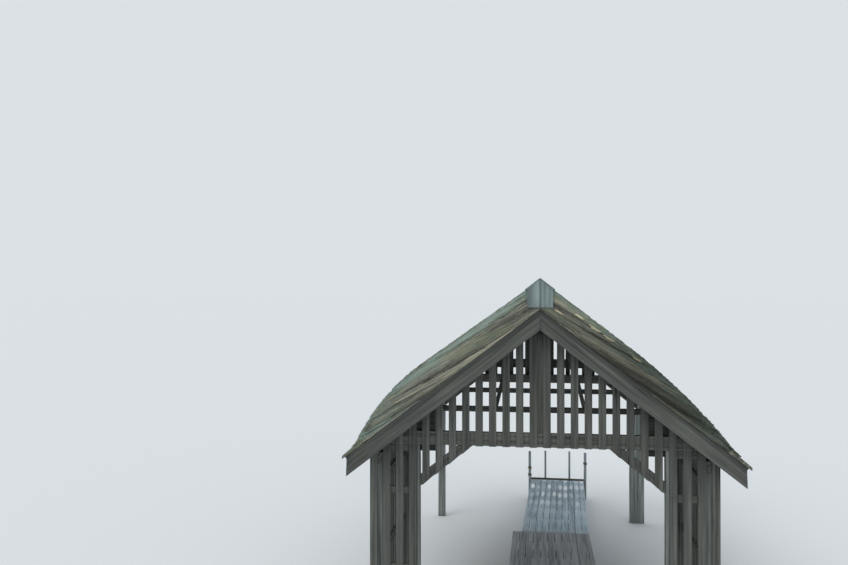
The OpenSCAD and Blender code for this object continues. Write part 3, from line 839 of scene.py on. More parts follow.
def bargeBoard(node):
    # a builder for pair, of the board under the thatch at one gable, cut upright at both ends
    low, high = boxOf(node)
    return lambda sideName: [timber(
        rectangle([low[1], 0], [high[1], battenN]), alongY, offSlope, downSlope, underRidge,
        [(np.zeros(3), acrossX)], [(np.array([tailX, 0, 0]), acrossX)], **bargeLook)]


pair("eaveAndBattens", battens, battenWood, "battens")
for place in ("front", "back"):
    pair("bargeBoard" + place.capitalize(), bargeBoard("barge_board_" + place + "_right"), bargeWood,
         "barge_board_" + place)


# Slatted walls
slatLook = {
    "timber": {"radius": 0.0025, "wear": 0.0012, "spacing": 0.03},   # thin, so a small arris
    "step": 0.16,
    "rail": {"radius": 0.004},
    "cornerWidth": 0.155,      # usual width of the boards that close the corners
    "cornerTop": 0.02,         # their last one stops this far under the roof line
    "cornerTimber": {"radius": 0.002, "wear": 0.001},
}
slatColumns = spans(pointsOf("gable_lattice_front")[:, 0])
rightColumns = slatColumns[slatColumns.mean(axis=1) > 0]
slatThick = landY - boxOf("gable_lattice_front")[0][1]
panelLow = boxOf("front_panel_right")[0]
panelRails = beyond(pointsOf("front_panel_right"), 1, landY)
tieBackY = boxOf("tie_beam_front")[1][1]
spandrel = pointsOf("front_spandrel_right")
cornerHead = np.array([spandrel[:, 0].min(), 0, jambHigh[2]])     # the sloping line of the opening
cornerFoot = np.array([jambLow[0], 0, spandrel[:, 2].min()])
headZ = cornerHead[2]
rafterN = slopeOf(pointsOf("rafters_right"))[1].max()
overRafters = (np.array([0, 0, level(0, rafterN)]), offSlope)


def slat(x0, x1, y0, y1, bottom, top, sideName):
    # a wall slat; the slats of one column share their seed, so that they meet without a seam
    column = int((x0 + x1) / 2 / (rightColumns[0].mean() * 2))
    seed = 5000 + column * 4 + (sideName == "left") * 2 + int(y0 > landY)
    return timber(rectangle([x0, y0], [x1, y1]), acrossX, alongY, upZ, np.zeros(3), bottom, top,
                  seed=seed, step=slatLook["step"], **slatLook["timber"])


for place in ("front", "back"):
    node = "gable_lattice_" + place
    y0 = boxOf(node)[0][1]
    parts = [onSide(slat(x0, x1, y0, y0 + slatThick, [headZ], [overRafters], sideName), sideName)
             for sideName in ("right", "left") for x0, x1 in rightColumns]
    if place == "back":
        points = pointsOf(node)
        rail = farthest(points, 1)
        railLow = np.array([rail[:, 0].min(), levels(points[:, 1])[1], rail[:, 2].min()])
        parts.append(blockTimber(railLow, rail.max(axis=0), 0, **slatLook["rail"]))
    makePiece("gableSlats" + place.capitalize(), parts, slatWood, [node])


def frontPanel(sideName):
    # the slats beside the opening, and the rails behind them
    parts = [slat(x0, x1, panelLow[1], landY, [panelLow[2]], [headZ], sideName)
             for x0, x1 in rightColumns if (x0 + x1) / 2 > jambLow[0]]
    for z0, z1 in spans(panelRails[:, 2]):
        parts.append(blockTimber(np.array([jambHigh[0], landY, z0]),
                                 np.array([postLow[0], panelRails[:, 1].max(), z1]), 0,
                                 **slatLook["rail"]))
    return parts


def kneeBrace(head, foot, upright, y0, y1):
    # a brace over the sloping line from head to foot, cut level at its head and upright at its
    # foot; upright is the height of that cut
    run = unit(foot - head)
    outwards = np.array([-run[2], 0, run[0]])
    return timber(rectangle([y0, 0], [y1, upright * run[0]]), alongY, outwards, run, head,
                  [(head, upZ)], [(foot, acrossX)], **braceLook)


def frontSpandrel(sideName):
    # the slats stop on the sloping line from the head to the corner of the opening, where the
    # knee brace behind them carries them, and level boards close the corner behind the brace
    run = unit(cornerFoot - cornerHead)
    lowerLine = (cornerHead, np.array([-run[2], 0, run[0]]))
    parts = [slat(x0, x1, panelLow[1], landY, [lowerLine], [headZ], sideName)
             for x0, x1 in rightColumns if cornerHead[0] < (x0 + x1) / 2 < jambLow[0]]
    brace = beyond(spandrel, 1, landY)
    brace = brace[brace[:, 0] > jambLow[0] - hair]
    parts.append(kneeBrace(cornerHead, cornerFoot, levels(brace[:, 2])[1] - cornerFoot[2], landY,
                           tieBackY))
    boards = beyond(spandrel, 1, tieBackY)
    boardLow, boardHigh = boards.min(axis=0), boards.max(axis=0)
    roofLine = (farthest(boards, 2)[0] * [1, 0, 1], offSlope)
    count = int(math.ceil((boardHigh[2] - headZ) / slatLook["cornerWidth"]))
    topZ = boardHigh[2] - slatLook["cornerTop"]
    edges = np.concatenate([[boardLow[2]], np.linspace(headZ, topZ, count + 1)])
    for index, (z0, z1) in enumerate(zip(edges[:-1], edges[1:])):
        end = jambLow[0] if index == 0 else boardHigh[0]
        parts.append(timber(rectangle([tieBackY, z0], [boardHigh[1], z1]), alongY, upZ, acrossX,
                            np.zeros(3), [boardLow[0]], [end, roofLine], **slatLook["cornerTimber"]))
    return parts


def backBrace(sideName):
    points = pointsOf("knee_brace_back_right")
    atPost, atHead = farthest(points, 0), farthest(points, 2)
    head = np.array([atHead[:, 0].min(), 0, atHead[0, 2]])
    foot = np.array([atPost[0, 0], 0, atPost[:, 2].min()])
    return [kneeBrace(head, foot, atPost[:, 2].max() - foot[2], points[:, 1].min(), points[:, 1].max())]


def sideScreen(sideName):
    # upright slats outside the posts, on rails between the posts
    points = pointsOf("side_screen_right")
    outer = farthest(points, 0)
    slatX = postHigh[0]
    parts = [blockTimber(np.array([slatX, y0, outer[:, 2].min()]),
                         np.array([outer[0, 0], y1, outer[:, 2].max()]), 2, **slatLook["timber"])
             for y0, y1 in spans(outer[:, 1])]
    rails = points[points[:, 0] < slatX - hair]
    for z0, z1 in spans(rails[:, 2]):
        parts.append(blockTimber(np.array([rails[:, 0].min(), rails[:, 1].min(), z0]),
                                 np.array([slatX, rails[:, 1].max(), z1]), 1, **slatLook["rail"]))
    return parts


pair("frontPanel", frontPanel, slatWood, "front_panel")
pair("frontSpandrel", frontSpandrel, slatWood, "front_spandrel")
pair("kneeBraceBack", backBrace, frameWood, "knee_brace_back")
pair("sideScreen", sideScreen, slatWood, "side_screen")
print("slatted walls made")


# Landing stage
deckLook = {"radius": 0.003, "wear": 0.0018, "step": 0.12}
bearerLook = {"radius": 0.008, "wear": 0.004}
ladderLook = {"rail": {"radius": 0.006}, "tread": {"radius": 0.004}, "letIn": 0.01}


def boardAlong(solid, axisIndex, **options):
    # a squared timber on the place of one solid that runs roughly along an axis
    ordered = solid[solid[:, axisIndex].argsort()]
    half = len(ordered) // 2
    start, end = ordered[:half].mean(axis=0), ordered[half:].mean(axis=0)
    axis = unit(end - start)
    side = np.cross(upZ, axis)
    reach = solid @ side - start @ side
    height = solid[:, 2] - start[2]
    return timber(rectangle([reach.min(), height.min()], [reach.max(), height.max()]), side, upZ, axis,
                  start, [0], [np.linalg.norm(end - start)], **options)


def poleFrom(solid, **options):
    # a round post or pile with the reach of its solid
    low, high = solid.min(axis=0), solid.max(axis=0)
    return pole((low + high) / 2, (high[0] - low[0]) / 2, low[2], high[2], **options)


def ladderParts():
    # two rails and the treads between them, on the slanting line of the outer deck's end
    points = pointsOf("ladder")
    tall = farthest(points, 2)
    tall = tall[tall[:, 0].argsort()]
    left, right = tall[:4], tall[-4:]
    axis = (right.mean(axis=0) - left.mean(axis=0)) * [1, 1, 0]
    span = np.linalg.norm(axis)
    axis /= span
    out = np.cross(upZ, axis)
    origin = left.mean(axis=0) * [1, 1, 0]
    size = (left @ axis).max() - (left @ axis).min()
    parts = [timber(rectangle([x - size / 2, -size / 2], [x + size / 2, size / 2]), axis, out, upZ,
                    origin, [0], [tall[0, 2]], **ladderLook["rail"]) for x in (0, span)]
    treads = points[(points - origin) @ out > size / 2 + hair]
    reach = ((treads - origin) @ out).max()
    letIn = ladderLook["letIn"]
    for z0, z1 in spans(treads[:, 2]):
        parts.append(timber(rectangle([-size / 2, z0], [reach, z1]), out, upZ, axis, origin, [letIn],
                            [span - letIn], **ladderLook["tread"]))
    return parts


for place, wood in (("inner", innerDeckWood), ("outer", outerDeckWood)):
    node = "jetty_deck_" + place
    boards = [boardAlong(solid, 1, **deckLook) for solid in solidsOf(node)]
    makePiece("deckBoards" + place.capitalize(), boards, wood, [node])
makePiece("deckBearers", [boardAlong(solid, 0, **bearerLook) for solid in solidsOf("jetty_bearers")],
          bearerWood, ["jetty_bearers"])
makePiece("deckPiles", [poleFrom(solid, domed=False) for solid in solidsOf("jetty_piles")], pileWood,
          ["jetty_piles"])
for sideName in ("left", "right"):
    makePiece("mooringPost" + sideName.capitalize(), [poleFrom(pointsOf("mooring_post_" + sideName))],
              mooringWood, ["mooring_post_" + sideName])
makePiece("ladderTimber", ladderParts(), ladderWood, ["ladder"])
print("landing stage made")


# Roof covering
thatchLook = {
    "wornLength": {"left": 1.15, "right": 1.70},   # length above the eave that has worn thin
    "swell": {"left": 0.06, "right": 0.0},         # extra thickness where that wear starts
    "noseThick": 0.048,     # thickness left at the lower end
    "thinnest": 0.02,       # thickness left under the rolled edge
    "roll": 0.10,           # radius of the rolled edge
    "coreInset": 0.014,     # the closed core lies this far behind the reeds of the verge
    "coreDrop": 0.004,      # and this far under those of the upper face
    # waves, ripples and streaks of the upper face, along the ridge and down the slope
    "relief": ((0.85, 0.7, 0.007), (0.16, 0.22, 0.006), (0.022, 0.35, 0.005)),
    "calmed": (0.12, 0.1),  # lengths over which they fade towards the ridge boards and the nose
    "course": 0.36,         # distance between the courses of reed
    "courseWander": (0.25, 0.5),    # how far a course wanders, in courses, and over what length
    "courseDrop": 0.008,
    "alongPoints": 460,     # points of the core along the ridge
    "downPoints": 92,       # and down the slope
}
eavePoints = pointsOf("battens_right")
boardN = levels(slopeOf(eavePoints)[1])[-1]
boardS = slopeOf(farthest(eavePoints, 1))[0].min()
noseN = battenN + thatchLook["noseThick"]
noseS = down(thatchHigh[0], noseN)
ridgeS = down(0, thatchN)
capS, capHeight = slopeOf(pointsOf("ridge_cap"))
capEndS = capS[capHeight > thatchN - hair].max()
capN = capHeight.max()
vergeY = (thatchLow[1], thatchHigh[1])


def topLevel(s, sideName):
    # upper face of the thatch: it swells evenly from the ridge boards down to where the wear
    # starts, and from there one arc, radius - sqrt(radius^2 - past^2), wears it down to the nose
    wornLength = thatchLook["wornLength"][sideName]
    swell = thatchLook["swell"][sideName]
    wornS = noseS - wornLength
    drop = thatchN + swell - noseN
    radius = (wornLength ** 2 + drop ** 2) / (2 * drop)
    past = np.clip(s - wornS, 0, wornLength)
    return (thatchN + swell * np.clip((s - capEndS) / (wornS - capEndS), 0, 1)
            - (radius - np.sqrt(radius ** 2 - past ** 2)))


def underLevel(s):
    # lower face: on the battens, then on the eave board
    return np.where(s < boardS, battenN, boardN)


def fromVerge(y):
    # how far inside the nearer verge a place lies
    return np.minimum(y - vergeY[0], vergeY[1] - y)


def rollAt(inwards, most=0.98):
    # how far a rolled edge has given way at a distance inside it: r - sqrt(r^2 - (r - inwards)^2)
    r = thatchLook["roll"]
    near = np.clip(r - inwards, 0, r * most)
    return r - np.sqrt(r ** 2 - near ** 2)


def sinkAt(y, s, sideName):
    # how far the upper face sinks near a verge
    return np.minimum(rollAt(fromVerge(y)),
                      topLevel(s, sideName) - underLevel(s) - thatchLook["thinnest"])


def thatchCore(seed, sideName):
    # the closed body of one slope: the section is carried along Y, waves, courses and streaks
    # are added to its upper face, and that face sinks by a quarter circle at the verges
    look = thatchLook
    inset = look["coreInset"]
    width = vergeY[1] - vergeY[0]
    rollY = inset + look["roll"] * (1 - np.cos(np.linspace(0, np.pi / 2, 9)))
    middleY = np.linspace(rollY[-1] + 0.02, width - rollY[-1] - 0.02, look["alongPoints"])
    y = (vergeY[0] + np.concatenate([rollY, middleY, width - rollY[::-1]]))[:, None]
    s = np.concatenate([np.linspace(ridgeS, capEndS, 6),
                        np.linspace(capEndS + 0.025, noseS, look["downPoints"])])
    ss = s[None, :]
    relief = layered(y, ss, look["relief"], seed)
    wander, over = look["courseWander"]
    turn = ss / look["course"] + wander * smoothNoise(y / over, ss * 0, seed + 3)
    step = -look["courseDrop"] * (1 - (turn - np.floor(turn))) ** 2
    nearCap, nearNose = look["calmed"]
    free = np.clip((ss - capEndS) / nearCap, 0, 1) * np.clip((noseS - ss) / nearNose, 0.25, 1)
    n = topLevel(ss, sideName) + free * (relief + step) - look["coreDrop"]
    n = n - np.minimum(rollAt(fromVerge(y) - inset, 1), n - underLevel(ss) - look["thinnest"])
    top = onSlope(ss, n, y)
    # the lower face draws together under the ridge, and the ridge line stays on the middle plane
    lowS = np.where(s < 0, np.minimum(down(0, battenN) + (s - ridgeS) * 0.35, 0.02), s)
    lowS = np.maximum.accumulate(lowS)[None]
    lowN = underLevel(lowS)
    low = np.broadcast_to(onSlope(lowS, lowN + 0.001, y), top.shape).copy()
    top[:, 0, 0] = 0
    low[:, 0, 0] = 0
    loop = np.concatenate([top, low[:, ::-1]], axis=1)
    rows, columns = loop.shape[:2]
    i = np.arange(columns // 2 - 1)
    first = np.stack([i, i + 1, columns - 2 - i, columns - 1 - i], axis=1)
    caps = np.concatenate([first, first[:, ::-1] + (rows - 1) * columns])
    grainTop = np.stack(np.broadcast_arrays(y, n, ss), axis=-1)
    grainLow = np.stack(np.broadcast_arrays(y, lowN, lowS), axis=-1)
    grain = np.concatenate([grainTop, grainLow[:, ::-1]], axis=1).reshape(-1, 3)
    return partOf(loop.reshape(-1, 3), np.concatenate([tubeQuads(rows, columns), caps])[:, ::-1],
                  np.empty((0, 3), int), grain)


def stems(centres, thick, tone, mossy, rng):
    # many thin stems at once: a triangle carried along each line of centres, closed at both ends
    count, rings = centres.shape[:2]
    radius = (reedRadius * thick)[:, None, None]
    run = centres[:, -1] - centres[:, 0]
    length = np.linalg.norm(run, axis=1, keepdims=True)
    along = run / (length + 1e-9)
    u = unit(np.cross(along, rng.normal(size=(count, 3))))
    w = np.cross(along, u)
    points = centres[:, :, None] + radius[..., None] * circleOf(3, u, w)[:, None]
    base = (np.arange(count) * rings * 3)[:, None]
    quads = (base[:, None] + tubeQuads(rings, 3)).reshape(-1, 4)
    tris = np.concatenate([base + [2, 1, 0], base + (rings - 1) * 3 + [0, 1, 2]])
    angle = anglesOf(3)
    grain = np.stack(np.broadcast_arrays(radius * np.cos(angle), radius * np.sin(angle), np.linspace(
        0, 1, rings)[None, :, None] * length[:, None]), axis=-1) + rng.uniform(-9, 9, (count, 1, 1, 3))
    return partOf(points.reshape(-1, 3), quads, tris, grain.reshape(-1, 3),
                  np.repeat(tone, rings * 3), np.repeat(mossy, rings * 3))


def stemLines(tipS, tipN, length, flatter, places):
    # s and n of points along each reed, from its butt to its tip
    back = np.linspace(1, 0, places)[None]
    return (tipS[:, None] - back * (length * np.cos(flatter))[:, None],
            tipN[:, None] - back * (length * np.sin(flatter))[:, None])


def reedTone(look, x, y, seed, rng):
    # the tone follows streaks or patches of the roof, with some chance for each reed
    return look["tone"] + layered(x, y, look["streaks"], seed) + look["chance"] * rng.normal(size=len(y))


def swung(y, swing, rng):
    # Y of points along each reed, whose tip swings to a side
    return y[:, None] + rng.uniform(-swing, swing, len(y))[:, None] * np.linspace(0, 1, 3)


reedRadius = 0.0042   # of a reed of thickness 1
vergeLook = {
    "count": 2600,             # for each gable end of a slope
    "length": (0.3, 0.95),
    "flatter": (3.5, 9.5),     # degrees by which a reed lies flatter than the slope
    "thick": (0.75, 1.35),
    "clear": 0.003,            # a reed lies this far over the battens, and as far through the top
    "bend": (6, 90, 0.003),    # waves in a metre along the slope and across it, and their height
    "sway": (4, 60, 0.004),    # the same out of the verge
    "thinOut": 0.33,           # thickness of thatch under which the reeds get fewer
    "drawBack": (0.003, 0.014),
    "tone": 0.40,
    "streaks": ((0.034, 1.2, 0.36), (0.015, 0.5, 0.2)),   # bundles, across and along the reeds
    "chance": 0.11,
    "moss": (0.15, 1.1, 0.08),      # share in the verge, more at the top, where its pale blue-grey is partly a painted sky highlight, and how deep that goes
    "mossStreaks": ((0.04, 0.9, 0.5),),
    "bundleTurn": 6.5,         # degrees by which the bundles lie flatter than the slope
    # pale reeds in the right verge that stand for painted flecks of sun through the trees: place down the
    # slope and depth under the upper face
    "tufts": ((0.06, 0.155), (0.28, 0.06), (0.49, 0.058), (0.69, 0.053), (1.075, 0.05)),
    "tuftSize": (0.035, 0.013),
    "tuftLength": (0.07, 0.12),
    "tuftOut": 0.3,            # share of the rolled edge's depth by which the tufts are drawn back
}


def vergeReeds(atLand, seed, sideName):
    # reeds seen from the side along the gable edge: they lie a few degrees flatter than the
    # slope, so that their tips run out through the upper face
    look = vergeLook
    rng = np.random.default_rng(seed)
    tries = look["count"] * 2
    tipS = rng.uniform(ridgeS + 0.05, noseS, tries)
    room = topLevel(tipS, sideName) - underLevel(tipS)
    keep = rng.uniform(0, 1, tries) < (room / look["thinOut"]) ** 0.5
    tipS, room = tipS[keep][:look["count"]], room[keep][:look["count"]]
    count = len(tipS)
    tipN = underLevel(tipS) + room * rng.uniform(0.01, 1, count) ** 0.9 + look["clear"]
    flatter = np.radians(rng.uniform(*look["flatter"], count))
    length = rng.uniform(*look["length"], count)
    depth = topLevel(tipS, sideName) - tipN
    sunFleck = np.zeros(count, bool)
    # short pale reeds near the upper face of the right land verge, as painted flecks of sun
    if atLand and sideName == "right":
        pale = np.zeros(count)
        wide, high = look["tuftSize"]
        for tuftS, tuftDepth in look["tufts"]:
            pale += np.exp(-((tipS - tuftS - 0.04) / wide) ** 2 - ((depth - tuftDepth) / high) ** 2)
        sunFleck = pale > 0.4
        length = np.where(sunFleck, rng.uniform(*look["tuftLength"], count), length)
    # a reed stays on its own side of the ridge and over the battens
    tipX = tipS * cosP + tipN * sinP
    length = np.minimum(length, np.maximum(tipX - 0.005, 0.02) / np.cos(pitch - flatter))
    rise = np.clip((tipN - battenN - look["clear"]) / length, 0, 0.5)
    flatter = np.minimum(flatter, np.arcsin(rise))
    s, n = stemLines(tipS, tipN, length, flatter, 5)
    lengthwise, sideways, height = look["bend"]
    n = n + height * smoothNoise(s * lengthwise, tipN[:, None] * sideways, seed)
    n = np.minimum(n, topLevel(s, sideName) + look["clear"])
    drawn = rollAt(topLevel(s, sideName) - n) + rng.uniform(*look["drawBack"], count)[:, None]
    drawn = np.where(sunFleck[:, None], drawn * look["tuftOut"], drawn)
    lengthwise, sideways, height = look["sway"]
    drawn = drawn + height * smoothNoise(s * lengthwise, n * sideways, seed + 5)
    y = vergeY[0] + drawn if atLand else vergeY[1] - drawn
    across = tipN - tipS * math.tan(math.radians(look["bundleTurn"]))
    tone = reedTone(look, across, tipS, seed + 6, rng)
    # the sun flecks take the palest tones, as painted light
    tone = np.where(sunFleck, rng.uniform(1.0, 1.5, count), tone)
    # more growth at the top of the verge gives lichen and a painted sky highlight there
    share, atTop, deep = look["moss"]
    mossy = share + atTop * np.clip(1 - depth / deep, 0, 1)
    mossy = np.clip(mossy + layered(across, tipS, look["mossStreaks"], seed + 8), 0, 1.3)
    return stems(onSlope(s, n, y), rng.uniform(*look["thick"], count), np.clip(tone, 0.02, 1.5),
                 np.where(sunFleck, 0, mossy), rng)


skinLook = {
    "count": 9000,                    # for each slope
    "length": (0.12, 0.28),
    "flatter": (4, 10),
    "thick": (0.7, 1.2),
    "lift": (-0.002, 0.009),          # height of the tips over the upper face
    "swing": 0.02,                    # how far a tip swings along the ridge
    "tone": 0.48,
    "streaks": ((0.4, 0.5, 0.2),),    # patches, along the ridge and down the slope
    "chance": 0.17,
    "moss": 0.45,
    "mossStreaks": ((0.5, 0.5, 0.6),),
}


def skinReeds(seed, sideName):
    # butts of reed that stand out of the upper face all over the slope
    look = skinLook
    count = look["count"]
    rng = np.random.default_rng(seed)
    tipS = rng.uniform(capEndS + 0.03, noseS, count)
    y = rng.uniform(vergeY[0] + 0.05, vergeY[1] - 0.05, count)
    length = rng.uniform(*look["length"], count)
    tipN = topLevel(tipS, sideName) - sinkAt(y, tipS, sideName) + rng.uniform(*look["lift"], count)
    flatter = np.radians(rng.uniform(*look["flatter"], count))
    s, n = stemLines(tipS, tipN, length, flatter, 3)
    centres = onSlope(s, n, swung(y, look["swing"], rng))
    tone = reedTone(look, y, tipS, seed + 1, rng)
    mossy = np.clip(look["moss"] + layered(y, tipS, look["mossStreaks"], seed + 2), 0, 1.2)
    return stems(centres, rng.uniform(*look["thick"], count), np.clip(tone, 0.02, 0.98), mossy, rng)


eaveReedLook = {
    "count": 2400,                    # for each slope
    "length": (0.12, 0.35),
    "ragged": (-0.05, 0.045),         # how far the tips stop before or after the nose
    "lift": (0, 0.016),               # height over the eave board
    "thick": (0.7, 1.2),
    "swing": 0.015,
    "tone": 0.42,
    "streaks": (),
    "chance": 0.16,
    "moss": 0.6,
    "mossStreaks": ((0.3, 0.2, 0.5),),
}


def eaveReeds(seed, sideName):
    # the ragged lower end, where the last stems lie on the eave board
    look = eaveReedLook
    count = look["count"]
    rng = np.random.default_rng(seed)
    y = rng.uniform(vergeY[0] + 0.01, vergeY[1] - 0.01, count)
    tipS = noseS + rng.uniform(*look["ragged"], count) + 0.02 * smoothNoise(y / 0.15, 0, seed)
    s = stemLines(tipS, tipS, rng.uniform(*look["length"], count), 0, 3)[0]
    lift = boardN + reedRadius + rng.uniform(*look["lift"], count)[:, None]
    n = np.where(s < noseS, np.minimum(topLevel(s, sideName), lift + (noseS - s) * 0.12), lift)
    centres = onSlope(s, n, swung(y, look["swing"], rng))
    tone = reedTone(look, y, tipS, seed, rng)
    mossy = np.clip(look["moss"] + layered(y, tipS, look["mossStreaks"], seed + 1), 0, 1.2)
    return stems(centres, rng.uniform(*look["thick"], count), np.clip(tone, 0.02, 0.98), mossy, rng)


mossLook = {
    "count": 2200,                    # for each slope
    "radius": (0.012, 0.04),          # one in ten is twice as large
    "rings": (1.0, 0.85, 0.5),        # in radii, and how high they stand, also in radii
    "heights": (-0.15, 0.12, 0.22),
    "crown": 0.26,
    "downStretch": 1.2,
    "wobble": 0.22,
    "damp": ((0.45, 0.45, 1), (0.15, 0.15, 0.5)),   # patches where the cushions grow
    "dampFrom": 0.25,
    "dampChance": 0.4,                # how far chance shifts that for each cushion
    "fromVerge": 0.10,                # none grows nearer to a verge
    "fromEnds": 0.02,                 # nor to the ridge boards and the nose
}


def mossCushions(seed, sideName):
    # low domes of moss: rings of eight points around a crown, pressed out of round by noise
    look = mossLook
    rng = np.random.default_rng(seed)
    tries = look["count"] * 4
    s = rng.uniform(capEndS + look["fromEnds"], noseS - look["fromEnds"], tries)
    y = rng.uniform(vergeY[0] + look["fromVerge"], vergeY[1] - look["fromVerge"], tries)
    damp = layered(y, s, look["damp"], seed)
    keep = damp + rng.uniform(-look["dampChance"], look["dampChance"], tries) > look["dampFrom"]
    s, y = s[keep][:look["count"]], y[keep][:look["count"]]
    count = len(s)
    size = rng.uniform(*look["radius"], count) * (1 + (rng.uniform(0, 1, count) > 0.9))
    sink = sinkAt(y, s, sideName)
    angle = anglesOf(8)
    wobble = 1 + look["wobble"] * rng.normal(size=(count, 1, 8)).clip(-1.5, 1.5)
    reach = size[:, None, None] * np.array(look["rings"])[None, :, None] * wobble
    ringY = y[:, None, None] + reach * np.cos(angle)
    ringS = s[:, None, None] + look["downStretch"] * reach * np.sin(angle)
    ground = topLevel(np.clip(ringS, capEndS, noseS), sideName) - sink[:, None, None]
    ringN = ground - thatchLook["coreDrop"] + size[:, None, None] * np.array(look["heights"])[:, None]
    crownN = topLevel(s, sideName) - sink - thatchLook["coreDrop"] + size * look["crown"]
    points = np.concatenate([onSlope(ringS, ringN, ringY).reshape(count, 24, 3),
                             onSlope(s, crownN, y)[:, None]], axis=1).reshape(-1, 3)
    return partOf(points, *domeFaces(count, 3), points, np.repeat(rng.uniform(-1, 1, count), 25))


# the right slope takes the copies with painted shade of the trees
for sideName, seed, skin, reed, moss in (("right", 100, shadedSkin, shadedReed, shadedMoss),
                                         ("left", 200, thatchSkin, lightReed, mossGreen)):
    ending = sideName.capitalize()
    makePiece("thatchCoat" + ending, [onSide(thatchCore(seed, sideName), sideName)], skin,
              ["thatch_" + sideName])
    for name, part in (("vergeReedsLand", vergeReeds(True, seed + 20, sideName)),
                       ("vergeReedsLake", vergeReeds(False, seed + 30, sideName)),
                       ("skinReeds", skinReeds(seed + 40, sideName)),
                       ("eaveReeds", eaveReeds(seed + 50, sideName))):
        makePiece(name + ending, [onSide(part, sideName)], reed)
    makePiece("mossCushions" + ending, [onSide(mossCushions(seed + 60, sideName), sideName)], moss,
              smoothEnds=True)
print("thatch made")


# Ridge boards
ridgeLook = {
    "joints": (0, 0.36, 0.69, 1),     # ends of the boards, as shares of the ridge
    "gap": 0.002,                     # half the gap between them
    "endGap": 0.001,                  # around the small boards on the ends
    "board": {"radius": 0.003, "wear": 0.003, "spacing": 0.04, "step": 0.07},
    "endBoard": {"radius": 0.003, "wear": 0.002, "spacing": 0.04, "step": 0.05},
}


def ridgeBoards():
    # boards in three lengths on each slope, mitred along the ridge, and a small board on each end
    points = pointsOf("ridge_cap")
    y0, y1 = points[:, 1].min(), points[:, 1].max()
    joints = np.array(ridgeLook["joints"]) * (y1 - y0) + y0
    gap, endGap = ridgeLook["gap"], ridgeLook["endGap"]
    section = [[ridgeS, thatchN], [capEndS, thatchN], [capEndS, capN], [down(0, capN), capN]]
    parts = [onSide(slopeTimber(section, a + gap, b - gap, **ridgeLook["board"]), sideName)
             for sideName in ("right", "left") for a, b in zip(joints[:-1], joints[1:])]
    low = points[:, 2].min()
    halfWidth = np.abs(points[points[:, 2] < low + hair][:, 0]).max()
    underBoards = (np.array([0, 0, level(0, thatchN)]), offSlope)
    thick = capN - thatchN
    for a in (y0, y1 - thick):
        for sideName in ("right", "left"):
            section = rectangle([endGap, a + endGap], [halfWidth, a + thick - endGap])
            board = timber(section, acrossX, alongY, upZ, np.zeros(3), [low], [underBoards],
                           **ridgeLook["endBoard"])
            parts.append(onSide(board, sideName))
    return parts


makePiece("ridgeBoards", ridgeBoards(), ridgeWood, ["ridge_cap"])
print("ridge made")


# Nails
nailLook = {
    "rings": ((1.0, -0.002), (0.85, 0.0016)),   # radius as a share, and height over the face
    "crown": 0.0026,
    "slatRadius": 0.0055,
    "slatApart": 0.022,       # half the distance between the two nails of a pair
    "deckRadius": 0.006,
    "deckApart": 0.03,
    "deckSink": 0.0015,
    "fromEdge": 0.05,         # of the tie beam's two rows, from its upper and lower edge
    "overRafters": 0.07,      # of the row on the rafters, over their undersides
    "slatScatter": (0.004, 0.008),    # across a slat and up it
    "deckScatter": (0.004, 0.012),    # across a board and along it
    "pastEnd": 0.05,          # a board takes nails from a bearer up to this far past its end
    "endShare": 0.008,        # and they stay inside it by this share of its length
}


def nailHeads(places, normal, radius):
    # low domes: two rings of eight points and a crown, with a closed back
    u = unit(np.cross(upZ if abs(normal[2]) < 0.9 else acrossX, normal))
    circle = circleOf(8, u, np.cross(normal, u))
    rings = [circle * (radius * share) + normal * height for share, height in nailLook["rings"]]
    shape = np.concatenate([*rings, [normal * nailLook["crown"]]])
    points = (np.array(places)[:, None] + shape[None]).reshape(-1, 3)
    return partOf(points, *domeFaces(len(places), 2), points)


def slatNails():
    # two nails wherever a slat crosses the tie beam, the rafters or a rail
    rng = np.random.default_rng(11)
    tieLow, tieHigh = boxOf("tie_beam_front")
    across, upwards = nailLook["slatScatter"]
    fromEdge = nailLook["fromEdge"]
    places = []
    for middle in slatColumns.mean(axis=1):
        heights = [tieLow[2] + fromEdge, tieHigh[2] - fromEdge]
        overTie = level(abs(middle), 0) + nailLook["overRafters"]
        if overTie > tieHigh[2] + fromEdge:
            heights.append(overTie)
        if abs(middle) > jambLow[0]:
            heights.extend(spans(panelRails[:, 2]).mean(axis=1))
        for z in heights:
            for x in (middle - nailLook["slatApart"], middle + nailLook["slatApart"]):
                places.append([x + rng.uniform(-across, across), panelLow[1],
                               z + rng.uniform(-upwards, upwards)])
    return nailHeads(places, -alongY, nailLook["slatRadius"])


def deckNails():
    # two nails in each board over each bearer
    rng = np.random.default_rng(12)
    across, lengthwise = nailLook["deckScatter"]
    pastEnd, endShare = nailLook["pastEnd"], nailLook["endShare"]
    top = boxOf("jetty_deck_inner")[1][2]
    bearers = [solid[:, 1].mean() for solid in solidsOf("jetty_bearers") if solid[:, 2].max() < top]
    places = []
    for board in solidsOf("jetty_deck_inner") + solidsOf("jetty_deck_outer"):
        ordered = board[board[:, 1].argsort()]
        start, end = ordered[:4].mean(axis=0), ordered[4:].mean(axis=0)
        for y in bearers:
            if not start[1] - pastEnd < y < end[1] + pastEnd:
                continue
            share = np.clip((y - start[1]) / (end[1] - start[1]), endShare, 1 - endShare)
            middle = start + (end - start) * share
            for x in (-nailLook["deckApart"], nailLook["deckApart"]):
                places.append([middle[0] + x + rng.uniform(-across, across),
                               middle[1] + rng.uniform(-lengthwise, lengthwise),
                               top - nailLook["deckSink"]])
    return nailHeads(places, upZ, nailLook["deckRadius"])


makePiece("slatNails", [slatNails()], nailIron)
makePiece("deckNails", [deckNails()], nailIron)


